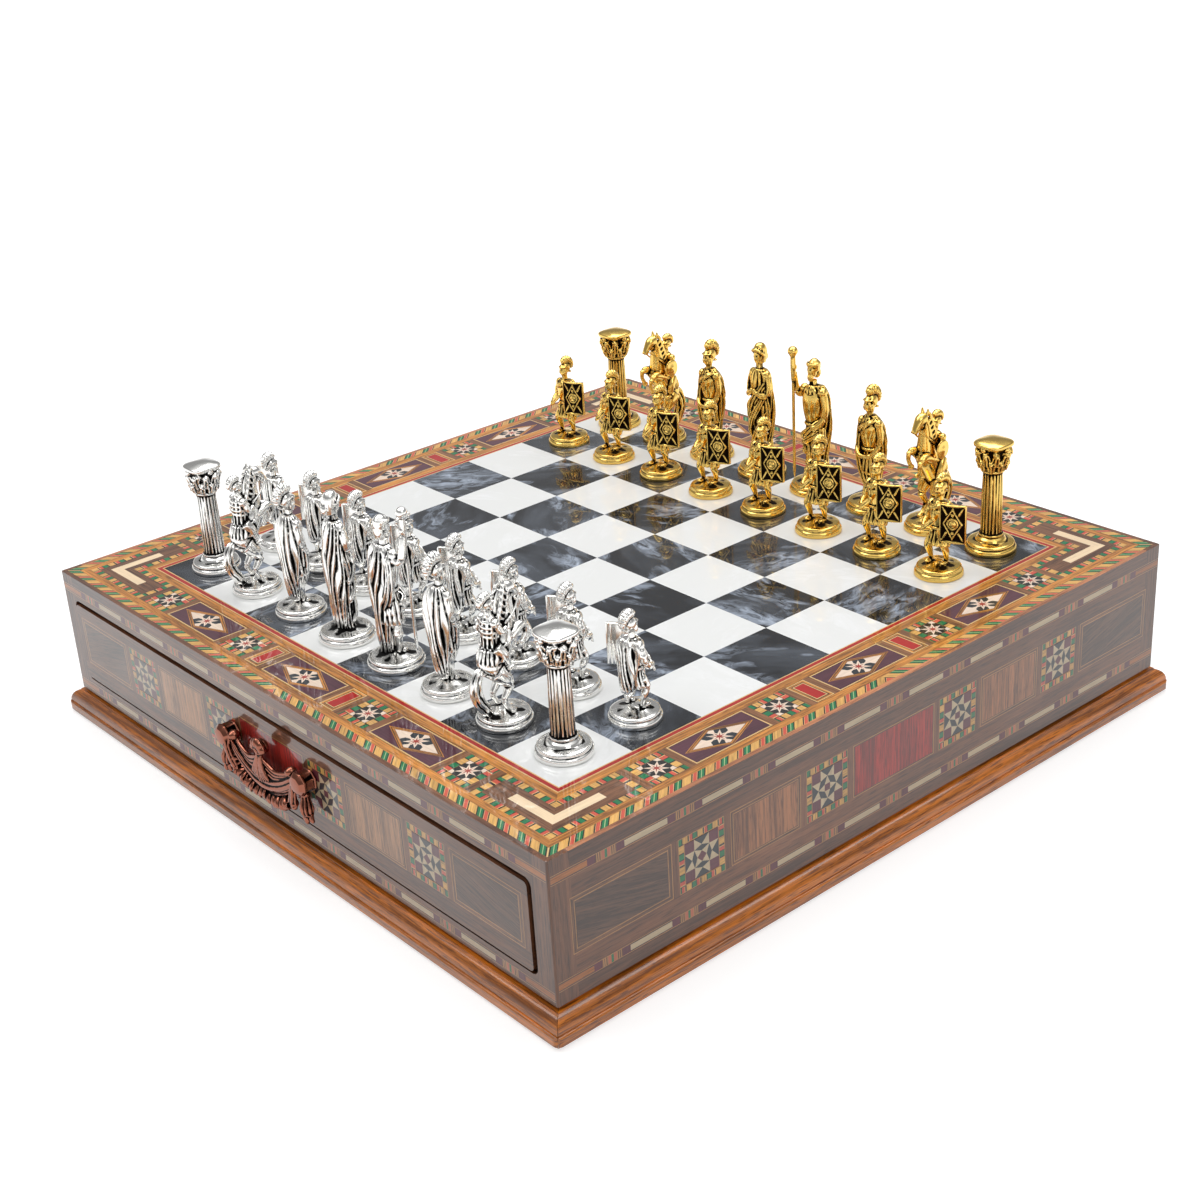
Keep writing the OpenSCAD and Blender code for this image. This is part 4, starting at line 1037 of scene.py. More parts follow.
def faceForm(z, r, y):
    # egg of latitude and longitude with a calm, plain face: shallow eye hollows at half height,
    # a straight nose, small lips and a rounded chin
    up = np.linspace(-1.5, 1.5, 34)[:, None]
    side = np.linspace(0, 2 * np.pi, 60, endpoint=False) - np.pi / 2
    front = np.angle(np.exp(1j * (side - np.pi / 2)))
    dent = lambda a, e, wide, tall: np.exp(-((front - a) / wide) ** 2 - ((up - e) / tall) ** 2)
    grow = (1 - 0.13 * (dent(0.38, 0.12, 0.2, 0.14) + dent(-0.38, 0.12, 0.2, 0.14))
            + 0.20 * dent(0, -0.16, 0.13, 0.2) + 0.07 * dent(0, -0.55, 0.22, 0.09)
            + 0.08 * dent(0, -0.95, 0.3, 0.2) + 0.05 * dent(0, 0.36, 0.6, 0.1))
    x, w = 0.82 * r * grow * np.cos(up) * np.cos(side), grow * np.cos(up) * np.sin(side)
    return np.stack([x, y + 0.98 * r * w, z + 1.18 * r * grow * np.sin(up)], -1)


def crestedHead(z, r, y=0.0):
    # head in a helmet with brim, cheek and neck guards and a rolled crest of strands
    angles = np.radians(np.linspace(38, 205, 9))
    reach = r * 1.34
    path = [(0, y - 0.35 * r + reach * math.cos(a), z + 0.42 * r + reach * math.sin(a)) for a in angles]
    forms = [faceForm(z, r, y + 0.2 * r),
             ball((0, y - 0.22 * r, z + 0.34 * r), (1.05 * r, 1.1 * r, 1.02 * r)),
             ball((0, y + 0.42 * r, z + 0.62 * r), (0.98 * r, 0.9 * r, 0.13 * r)),
             ball((0, y - 1.05 * r, z - 0.5 * r), (0.85 * r, 0.5 * r, 0.16 * r)),
             tube(path, np.array([0.35, 0.62, 0.74, 0.8, 0.82, 0.8, 0.72, 0.6, 0.3]) * r,
                  ripples=11, swell=0.16, flat=0.85, steps=60, sides=18)]
    for s in (-1, 1):
        forms.append(ball((s * 0.82 * r, y + 0.35 * r, z - 0.42 * r), (0.2 * r, 0.42 * r, 0.55 * r)))
    return forms


def shieldForm(place, w, h, thick, turn):
    # closed shell over width and height: curved front with a raised rim, a rhombus, a boss,
    # rays to the corners and two studs
    u, v = np.linspace(1, -1, 65), np.linspace(-1, 1, 89)[:, None]
    step = lambda value, edge: 1 / (1 + np.exp(-(value - edge) * 60))
    line = lambda value, middle, half: step(value, middle - half) * (1 - step(value, middle + half))
    rim = np.maximum(step(np.abs(u), 0.86), step(np.abs(v), 0.915))
    lozenge = np.abs(u) / 0.72 + np.abs(v) / 0.80
    ray = line(np.abs(u) / 0.86 - np.abs(v) / 0.915, 0.0, 0.085) * step(lozenge, 1.18)
    spot = np.hypot(u, v * h / w)
    boss = np.sqrt(np.clip(1 - (spot / 0.27) ** 2, 0, 1)) + 0.7 * line(spot, 0.37, 0.045)
    dots = 0.8 * (1 - step(np.hypot(u, (np.abs(v) - 0.48) * h / w), 0.10))
    height = np.maximum.reduce([rim + 0 * boss, line(lozenge, 0.95, 0.075), 0.8 * ray, boss,
                                dots]) * 0.8
    bulge = 1.1 * (1 - u ** 2)
    front = np.stack([u * w / 2 + 0 * v, bulge + height + 0 * v, v * h / 2 + 0 * u], -1)
    back = np.stack([u[::-1] * w / 2 + 0 * v, bulge - thick + 0 * v + 0 * u, v * h / 2 + 0 * u], -1)
    grid = np.concatenate([front, back], 1)
    c, s = math.cos(turn), math.sin(turn)
    return np.stack([place[0] + c * grid[..., 0] - s * grid[..., 1],
                     place[1] + s * grid[..., 0] + c * grid[..., 1], place[2] + grid[..., 2]], -1)


def shells(grids):
    # every grid wraps round its columns and is closed by a fan at its first and last row
    points, quads, fans, start = [], [], [], 0
    for grid in grids:
        rows, cols = grid.shape[:2]
        i, j = np.arange(rows - 1)[:, None] * cols, np.arange(cols)
        k = (j + 1) % cols
        quads.append(start + np.stack([i + j, i + k, i + cols + k, i + cols + j], -1).reshape(-1, 4))
        low, high = start + rows * cols, start + rows * cols + 1
        top = start + (rows - 1) * cols
        fans.append(np.stack([np.full(cols, low), start + k, start + j], -1))
        fans.append(np.stack([np.full(cols, high), top + j, top + k], -1))
        points.append(np.concatenate([grid.reshape(-1, 3), grid[:1].mean(1), grid[-1:].mean(1)]))
        start = high + 1
    return np.concatenate(points), np.concatenate(quads), np.concatenate(fans)


castLook = {
    "voxel": 0.3, "soften": 0.5,
    # hollows: the middle value and, by rounds of averaging, the weight of the distance
    "level": 0.24, "weights": {2: 3.6, 8: 1.4, 24: 0.35}, "share": 0.6,
}


def fused(name, grids, faces, smooth=2):
    # the shells made one skin of even quads, softened and thinned to a number of triangles
    points, quads, fans = shells(grids)
    mesh = bpy.data.meshes.new(name + "Forms")
    mesh.from_pydata(points.tolist(), [], quads.tolist() + fans.tolist())
    holder = placed(name + "Forms", mesh)
    remesh = holder.modifiers.new("skin", "REMESH")
    remesh.mode, remesh.voxel_size, remesh.adaptivity = "VOXEL", castLook["voxel"], 0.0
    soft = holder.modifiers.new("soft", "SMOOTH")
    soft.factor, soft.iterations = castLook["soften"], smooth
    graph = bpy.context.evaluated_depsgraph_get()
    dense = bpy.data.meshes.new_from_object(holder.evaluated_get(graph))
    full = sum(len(p.vertices) - 2 for p in dense.polygons)
    holder.modifiers.clear()
    holder.data = dense
    thin = holder.modifiers.new("thin", "DECIMATE")
    thin.ratio = min(1.0, faces / full)
    thin.use_collapse_triangulate = True
    graph = bpy.context.evaluated_depsgraph_get()
    skin = bpy.data.meshes.new_from_object(holder.evaluated_get(graph))
    places = np.empty(len(skin.vertices) * 3, np.float32)
    skin.vertices.foreach_get("co", places)
    corners = np.empty(len(skin.loops), np.int32)
    skin.loops.foreach_get("vertex_index", corners)
    bpy.data.objects.remove(holder)
    return places.reshape(-1, 3).astype(float), corners.reshape(-1, 3)


def hollows(points, corners):
    # 1 where the skin lies below the average of its neighbours, 0 where it stands above it:
    # the distance to the averaged skin, measured along the normal, at a fine and a broad scale
    a, b, c = points[corners[:, 0]], points[corners[:, 1]], points[corners[:, 2]]
    facet = np.cross(b - a, c - a)
    normal = np.zeros_like(points)
    for k in range(3):
        np.add.at(normal, corners[:, k], facet)
    normal /= np.linalg.norm(normal, axis=1, keepdims=True) + 1e-12
    ends = np.concatenate([corners[:, [0, 1]], corners[:, [1, 2]], corners[:, [2, 0]]])
    ends = np.concatenate([ends, ends[:, ::-1]])
    count = np.bincount(ends[:, 0], minlength=len(points))[:, None]
    weights, share = castLook["weights"], castLook["share"]
    soft, found = points.copy(), castLook["level"]
    for turn in range(1, max(weights) + 1):
        total = np.stack([np.bincount(ends[:, 0], soft[ends[:, 1], k], len(points))
                          for k in range(3)], 1)
        soft = (1 - share) * soft + share * total / np.maximum(count, 1)
        if turn in weights:
            found = found + weights[turn] * np.sum((soft - points) * normal, 1)
    return np.clip(found, 0, 1)


def slim(forms, share):  # draws the forms in towards the middle of the base
    for form in forms:
        form[..., :2] *= share
    return forms


def girdle(z, wide, deep, thick, beads):  # beaded belt round the waist
    turn = np.linspace(0, 2 * np.pi, 25)
    path = np.stack([wide * np.cos(turn), deep * np.sin(turn), z + 0 * turn], 1)
    return tube(path, np.full(25, thick), ripples=beads, swell=0.2, steps=beads * 4, sides=8)


def castPiece(name, skin, hollow, spots, material, body):
    # copies of one skin: turned about its middle by each spot's angle, then set on its place
    points, corners = skin
    whole, faces = [], []
    for k, (x, y, z, angle) in enumerate(spots):
        c, s = math.cos(angle), math.sin(angle)
        whole.append(np.stack([x + c * points[:, 0] - s * points[:, 1],
                               y + s * points[:, 0] + c * points[:, 1], z + points[:, 2]], 1))
        faces.append(corners + k * len(points))
    newPiece(name + "_cast", np.concatenate(whole), np.concatenate(faces).tolist(), material, body,
             [name], [("hollow", "POINT", np.tile(hollow, len(spots)))], smooth=True)


def cloth(points, radii, folds=6, depth=0.26, **look):  # a tube of drapery
    return tube(points, radii, folds=folds, depth=depth, sides=24, **look)


def pawnForms():
    forms = [baseForm(24.2)]
    for s in (-1, 1):
        step = 1.9 if s > 0 else -0.6
        forms += [tube([(s * 4.4, 0.2 + step, 6), (s * 4.4, step - 0.4, 8.4),
                        (s * 4.9, step + 0.6, 12.6),
                        (s * 4.8, step + 2.2, 16), (s * 3.2, step * 0.5, 21)], [1.5, 1.35, 2, 2.1, 3]),
                  ball((s * 4.5, 1.9 + step, 6.9), (1.5, 2.7, 1.1)),
                  oval([(15.4, 2, 2), (16.2, 2.4, 2.4), (17.2, 2.1, 2.1)],
                       x=s * 4.7) + np.array([0, step + 1.9, 0]),
                  ball((s * 5.4, 0, 36.2), (2.7, 2.9, 2.5)),
                  tube([(s * 3, 3.6, 20), (s * 2.4, 4.4, 24.5)], [1.2, 1])]
    forms += [
        oval([(16.4, 6.6, 5.8, 0.6), (18, 6.3, 5.6, 0.5), (21, 5.3, 4.7), (25, 4.5, 3.8)], 15, 0.15),
        oval([(24, 4.3, 3.6), (24.6, 5, 4.2), (25.6, 5, 4.2), (26.2, 4.4, 3.7)]),
        oval([(25, 4.4, 3.6), (29, 5.3, 4.4, 0.3), (33.5, 5.9, 4.8, 0.2), (36.5, 5.4, 3.9),
              (38.6, 2.6, 2.4)]),
        oval([(36.4, 4.6, 3.8), (37.6, 4.2, 3.6), (38.8, 2.7, 2.6)], 12, 0.08),
        tube([(0, 0, 37), (0, 0.2, 41.5)], [2, 1.9]),
        # cloak down the back, caught over the shoulders
        oval([(12.6, 2.2, 1.4, -3.6), (15, 4, 2.2, -4), (22, 5.6, 2.7, -4), (30, 6.1, 2.8, -3.4),
              (36, 6, 3.2, -2), (38.4, 4.2, 2.8, -1)], 11, 0.26, 0.22, steps=56, sides=80, sway=1.2),
        tube([(-5.2, -1.2, 37.4), (-2.2, 3.4, 37), (2.6, 3.6, 35.6), (5.6, -0.4, 36.8)],
             [1.3, 1.5, 1.5, 1.2],
             folds=5, depth=0.22, sides=20),
        # right arm in ribbed guards with the short sword, left arm behind the shield
        tube([(5.6, 0, 36), (7.9, 0.2, 31.8), (8, 0.8, 28.4)], [2.3, 2, 1.8], ripples=4, swell=0.08),
        tube([(8, 0.6, 28.6), (7.4, 4.4, 26.2), (5.6, 7.2, 25.4)], [1.9, 1.6, 1.3], ripples=3,
             swell=0.08),
        ball((5, 7.8, 25.2), (1.6, 1.7, 1.6)),
        tube([(7.8, 7.6, 22.8), (4.8, 7.9, 25.3), (-0.4, 8.2, 29.4), (-3.2, 7.6, 31.6)],
             [0.9, 1, 1.4, 0.6],
             folds=4, depth=0.2, flat=0.6, sides=18),
        ball((3.2, 8, 26.7), (1, 0.9, 2.1)),
        tube([(-5.6, 0, 36), (-8.6, 0.8, 31.8), (-11.2, 2, 30.4)], [2.2, 1.9, 1.6]),
        girdle(25.1, 4.9, 4.1, 0.7, 22),
    ]
    shield = shieldForm((-10.8, 3.2, 30.4), 13, 19.6, 1.1, math.radians(24))
    return [forms[0], shield] + slim(forms[1:] + crestedHead(44.6, 3.2), 0.87)


def rookForms():
    turn = np.linspace(0, 2 * np.pi, 192, endpoint=False)
    # fluted shaft: the radius at each height is cut by eighteen hollow channels
    rows = smoothRows([(7, 5.95), (9, 5.95), (14, 5.9), (28, 5.7), (40, 5.4), (42.6, 5.4)], 50)
    z, r = rows[:, :1], rows[:, 1:2]
    fade = np.clip((z - 8.4) / 1.2, 0, 1) * np.clip((41.8 - z) / 1.2, 0, 1)
    k = r * (1 - 0.12 * fade * (1 - np.abs(np.cos(9 * turn)) ** 0.9))
    shaft = np.stack([k * np.cos(turn), k * np.sin(turn), z + 0 * turn], -1)
    forms = [baseForm(25.6), shaft,
             oval([(5.2, 8.6, 8.6), (6.6, 7.9, 7.9), (7.3, 7, 7), (7.7, 6.5, 6.5), (8.6, 6.9, 6.9),
                   (9.3, 6.2, 6.2)]),
             oval([(41.6, 5.6, 5.6), (42.2, 6.5, 6.5), (42.9, 6.5, 6.5), (43.6, 5.6, 5.6)]),
             oval([(42.4, 5.5, 5.5), (46, 6.2, 6.2), (52, 7.4, 7.4), (55.2, 8.4, 8.4)])]
    for tier, (count, low, high, near, far) in enumerate(((9, 43.2, 47.6, 5.8, 7.3),
                                                          (9, 45.6, 52, 6.3, 8.3))):
        for i in range(count):
            a = (i + tier * 0.5) * 2 * math.pi / count
            c, s = math.cos(a), math.sin(a)
            path = [(near * c, near * s, low), ((near + 0.5) * c, (near + 0.5) * s, (low + high) / 2),
                    (far * c, far * s, high), ((far + 1.1) * c, (far + 1.1) * s, high - 0.2),
                    ((far + 1.2) * c, (far + 1.2) * s, high - 1.5)]
            forms.append(tube(path, [1.7, 1.9, 1.6, 1, 0.6], folds=6, depth=0.28, sides=24, steps=26))
    for i in range(4):
        a = math.radians(45 + 90 * i)
        c, s = math.cos(a), math.sin(a)
        curl = np.linspace(0, 3.6 * np.pi, 20)
        size = 2.3 * np.exp(-0.13 * curl)
        out, up = 9.2 + size * np.cos(curl + 1.2) - 1.2, 53 + size * np.sin(curl + 1.2)
        path = np.stack([out * c, out * s, up], 1)
        forms.append(tube(path[:16], np.linspace(0.95, 0.75, 16), steps=44, sides=10))
        forms.append(ball((8.6 * c, 8.6 * s, 52.9), (1.5, 1.5, 1.2)))
        b = a + math.radians(45)
        forms.append(ball((8.6 * math.cos(b), 8.6 * math.sin(b), 54.8), (1.6, 1.6, 1.5)))
    # abacus: a rounded square, stepped below and domed on top
    outline = 9.5 / (np.abs(np.cos(turn)) ** 3.2 + np.abs(np.sin(turn)) ** 3.2) ** (1 / 3.2)
    levels = smoothRows([(54.4, 0.78), (54.8, 0.90), (55.3, 0.92), (55.6, 0.985), (56.6, 1),
                         (57.2, 0.965),
                         (57.7, 0.86), (58.2, 0.68), (58.7, 0.42), (58.95, 0.14)], 44)
    z, k = levels[:, :1], levels[:, 1:2] * outline
    forms.append(np.stack([k * np.cos(turn), k * np.sin(turn), z + 0 * turn], -1))
    return forms[:1] + slim(forms[1:], 0.91)


def bishopForms():
    forms = [baseForm(25.6)]
    for s in (-1, 1):
        forms += [tube([(s * 2.9, 0.8, 5.6), (s * 2.9, 0.8, 9), (s * 3.1, 0.6, 16), (s * 3, 1, 20.5),
                        (s * 3.1, 0.4, 27)], [1.7, 1.5, 2.4, 2, 3.4]),
                  ball((s * 3, 2.6, 6.6), (1.7, 2.8, 1.2)),
                  ball((s * 7, 0, 48), (3, 3, 2.7)),
                  tube([(s * 7.2, 0, 47.5), (s * 8.9, 0.2, 41), (s * 8.6, 1.2, 36.4)], [2.6, 2.3, 1.9]),
                  tube([(s * 8.6, 1, 36.6), (s * 7.6, 4.4, 33.2), (s * 5, 6.4, 31.4)], [1.9, 1.6, 1.3]),
                  ball((s * 4.6, 6.6, 31.2), (1.6, 1.6, 1.5))]
    forms += [
        oval([(20.4, 7, 5.8), (24, 6.7, 5.5), (29, 5.9, 4.8), (33.5, 4.9, 3.9)], 14, 0.12),
        oval([(32.4, 4.7, 3.8), (33.2, 5.4, 4.4), (34.8, 5.4, 4.4), (35.6, 4.8, 3.9)]),
        oval([(34, 4.8, 3.9), (40, 6.2, 5.1, 0.5), (45, 7.2, 5.4, 0.4), (48.6, 6.8, 4.2),
              (51.2, 3.2, 3)]),
        oval([(48.2, 5.6, 4.4), (49.8, 5, 4.2), (51.4, 3, 3)], 12, 0.1),
        tube([(0, 0, 49), (0, 0.3, 55)], [2.4, 2.3]),
        tube([(-6.6, -1, 49.6), (-2.6, 3.8, 48.6), (3.2, 4.6, 45.6), (6.8, 1, 42.4)],
             [1.5, 1.6, 1.6, 1.4],
             folds=5, depth=0.22, sides=20),
        # cloak over the back, its flowing folds drawn together towards the base
        oval([(7.4, 2.6, 2.2, -2.4), (10, 4, 2.8, -3), (18, 6.2, 3.2, -3.6), (28, 7.8, 3.5, -3.9),
              (38, 8.4, 3.6, -3.7), (46, 8.2, 3.8, -2.8), (50.4, 6, 3.4, -1.6), (52.2, 3.6, 2.8, -0.8)],
             11, 0.26, 0.13, steps=80, sides=110, sway=1),
        cloth([(7.6, -2.4, 46), (8, 1.6, 38), (5.4, 3.8, 27), (1, 3.6, 17), (-2.6, 1.2, 10)],
             [1.2, 1.9, 2.3, 2.1, 1.2], depth=0.3, steps=40),
        tube([(4.6, 6.8, 31), (1, 7.2, 30.6), (-4.4, 6.8, 31)], [1.1, 1.2, 1.1]),
    ]
    forms += [girdle(34, 5.5, 4.5, 0.8, 24), girdle(21.6, 6.6, 5.4, 0.5, 30)]
    return forms[:1] + slim(forms[1:] + crestedHead(58.4, 4.1), 0.79)


def queenForms():
    forms = [baseForm(27.4)]
    for s in (-1, 1):
        forms += [ball((s * 6, -0.2, 57.2), (3.2, 3.2, 2.9)),
                  tube([(s * 6.8, 0, 56.6), (s * 8.4, 0.6, 51), (s * 8, 2.2, 46.2)], [2.7, 2.5, 2.2],
                       folds=5, depth=0.14, sides=18),
                  tube([(s * 8, 2, 46.4), (s * 5.6, 5.6, 46.6), (s * 1.8, 7.2, 48.4)], [2.3, 1.8, 1.2]),
                  ball((s * 1.2, 7.4, 48.8), (1.2, 1.5, 1.8))]
    forms += [
        oval([(6.2, 5.6, 5, -0.4), (9, 5.2, 4.6, -0.4), (16, 5.4, 4.7, -0.4), (28, 6.2, 5.1),
              (38, 6.9, 5.4),
              (45, 5.9, 4.8), (52, 6.6, 5.2, 0.2), (57, 7, 4.4), (60.6, 3.6, 3.4)], 13, 0.16, 0.10,
             steps=80, sides=110, sway=0.8),
        # shell of drapery at the hips
        *[tube([(2.2 + 0.5 * k, 5.6, 44.5), (2.6 + 1.5 * k, 6.8 - 0.3 * abs(k), 40),
                (1.8 + 1.9 * k, 6.4 - 0.3 * abs(k), 35.5)], [0.6, 1.2, 0.9]) for k in range(-2, 3)],
        # mantle drawn slantwise across the front
        cloth([(-7.2, -1.5, 56), (-4.6, 4.2, 50), (1, 6.4, 42.5), (5.4, 4.6, 35), (7.2, 0, 29)],
             [1.6, 1.9, 2.1, 2, 1.5]),
        cloth([(-7, -1, 50), (-4.4, 4.4, 42), (0.6, 6.4, 34), (4.8, 4.8, 26), (6.6, 0.6, 19)],
             [1.3, 1.7, 1.8, 1.7, 1.2]),
        cloth([(-6.4, 0.6, 38), (-3.6, 5, 29), (0.8, 6.2, 21), (4.2, 4.6, 13), (5.6, 1.6, 8)],
             [1, 1.5, 1.6, 1.4, 1], folds=5),
        tube([(0, 0, 58), (0, 0.4, 64)], [2.6, 2.4]),
        faceForm(67.6, 3.9, 0.9),
        # hair drawn back under a band to a knot, and a cloak from the shoulders to the ground
        oval([(63.8, 3.2, 3.6, -1.2), (66.4, 3.9, 4.4, -1.1), (69.4, 4.3, 4.8, -0.9),
              (72.4, 3.9, 4.4, -0.6),
              (74.4, 2.4, 2.9, -0.4), (75, 0.8, 1, -0.3)], 17, 0.05, 0.05, steps=40, sides=90),
        tube([(-4.1, -1, 68), (-3.6, 3, 70.6), (0, 4.5, 71.6), (3.6, 3, 70.6), (4.1, -1, 68)],
             [0.8, 0.85, 0.9, 0.85, 0.8], ripples=14, swell=0.15, steps=60),
        ball((0, -5.2, 66.6), (2.4, 2.2, 2.4)),
        oval([(6.3, 4.6, 2.6, -3), (12, 5.6, 2.8, -3.5), (26, 6.9, 3, -4), (40, 7.4, 3.1, -3.9),
              (52, 7.2, 3.4, -3), (57.6, 6.4, 3.4, -1.8), (60.2, 4.2, 3, -1)],
             11, 0.26, -0.11, steps=80, sides=110, sway=1),
    ]
    return forms[:1] + slim(forms[1:], 0.8)


def kingForms():
    forms = [baseForm(27.4)]
    for s in (-1, 1):
        forms += [tube([(s * 3.4, 0.8, 5.6), (s * 3.3, 0.9, 9), (s * 3.5, 0.7, 16.5),
                        (s * 3.3, 1.2, 21),
                        (s * 3.4, 0.4, 29)], [2, 1.7, 2.7, 2.2, 3.7]),
                  ball((s * 3.5, 2.9, 6.8), (1.9, 3.1, 1.3)),
                  oval([(14.6, 2.7, 2.7), (15.4, 3.1, 3.1), (16.4, 2.8, 2.8)]) + np.array([s * 3.45,
                                                                                           0.8, 0]),
                  ball((s * 7.8, 0, 56.4), (3.3, 3.2, 2.9)),
                  ball((s * 8.6, 0, 54.2), (2.8, 2.9, 2.6))]
    forms += [
        oval([(21.6, 7.9, 6.4), (25.5, 7.5, 6.1), (31, 6.5, 5.2), (36.5, 5.4, 4.3)], 15, 0.12),
        oval([(26.6, 7.5, 6, 0.3), (29.5, 7.2, 5.8, 0.3), (33, 6.4, 5.2, 0.2)], 12, 0.1),
        oval([(36, 5.3, 4.4), (38, 6, 4.9), (40, 5.4, 4.5)]),
        oval([(38, 5.4, 4.3), (45, 7, 5.6, 0.6), (51.5, 8, 5.9, 0.5), (56.6, 7.6, 4.6),
              (59.6, 3.6, 3.4)]),
        oval([(55.6, 6.6, 5), (58, 5.8, 4.6), (60, 3.4, 3.2)], 14, 0.1),
        tube([(0, 0, 57), (0, 0.4, 63)], [2.7, 2.6]),
        # drapery slung across the hips and over the left arm
        cloth([(7.4, 1.8, 31), (3, 6.4, 32.6), (-3, 6.6, 36), (-7.2, 3.4, 39.5), (-8.8, -0.6, 41)],
             [1.6, 2, 2.2, 2, 1.6]),
        cloth([(6.8, 2.6, 27), (2.2, 6.6, 29.2), (-3.4, 6.4, 32.6), (-7.6, 3, 36)],
              [1.2, 1.6, 1.8, 1.4]),
        tube([(-9.4, 2.6, 38), (-9.8, 2.2, 30), (-9, 1.8, 22)], [2, 1.8, 1], folds=5, depth=0.26,
             sides=20),
        # long cloak behind, hanging to his left
        oval([(6.4, 3.2, 2.4, -3.2), (14, 4.2, 2.8, -3.8), (28, 5.4, 3, -4.2), (42, 6.4, 3.2, -4),
              (52, 6.8, 3.6, -3.2), (57, 5.4, 3.4, -2), (60, 3.4, 2.8, -1)], 9, 0.28, -0.10,
             steps=80, sides=100, sway=1, x=-3.4),
        cloth([(7, -3.4, 57), (8, -3.6, 46), (5.6, -3.8, 37), (0.6, -3.6, 30), (-5, -2.8, 26)],
             [1.4, 2, 2.4, 2.2, 1.2], depth=0.3, steps=40),
        # left arm at the hip, right arm out to the staff
        tube([(-8.4, 0, 55), (-10.4, 0.4, 48), (-10, 1.6, 42.6)], [2.9, 2.5, 2.1]),
        tube([(-10, 1.4, 42.8), (-8.6, 4.6, 39.6), (-6, 6.6, 38)], [2.1, 1.8, 1.5]),
        ball((-5.6, 6.8, 37.8), (1.8, 1.8, 1.7)),
        faceForm(68.4, 3.9, 0.8),
        # hair, a plain circlet and a short beard
        ball((0, -0.8, 70.2), (4.1, 4.4, 4.2)),
        oval([(70.6, 4.1, 4.5, -0.1), (71.4, 4.4, 4.8, -0.1), (72.4, 4.2, 4.6, -0.1)], 18, 0.06),
        ball((0, 2.9, 64.6), (2.3, 1.9, 2.6)),
        ball((0, -2.6, 66.6), (3.6, 2.4, 3.4)),
    ]
    forms += [girdle(38.4, 6, 4.9, 0.8, 26)]
    held = [
        tube([(6, 0, 55.4), (9.2, 0.6, 53.4), (11, 1.4, 55)], [2.5, 2.1, 1.9]),
        tube([(11, 1.4, 54.8), (11.2, 2.4, 60), (10.9, 3.2, 66)], [2, 1.8, 1.4], folds=4, depth=0.14),
        ball((10.9, 3.6, 68.2), (1.7, 1.9, 1.9)),
        tube([(9.6, 5.5, 6.2), (10.4, 4.7, 40), (11.2, 3.9, 76)], [0.8, 0.85, 0.9], steps=40),
        tube([(10.9, 4.1, 60), (11.1, 3.95, 68), (11.3, 3.8, 75)], [1.1, 1.5, 1.4], folds=4, depth=0.12,
             steps=30),
        ball((11.3, 3.8, 77.1), (2.8, 2.8, 2.7)), ball((11.3, 3.8, 74.7), (1.8, 1.8, 0.5)),
    ]
    return forms[:1] + held + slim(forms[1:], 0.82)


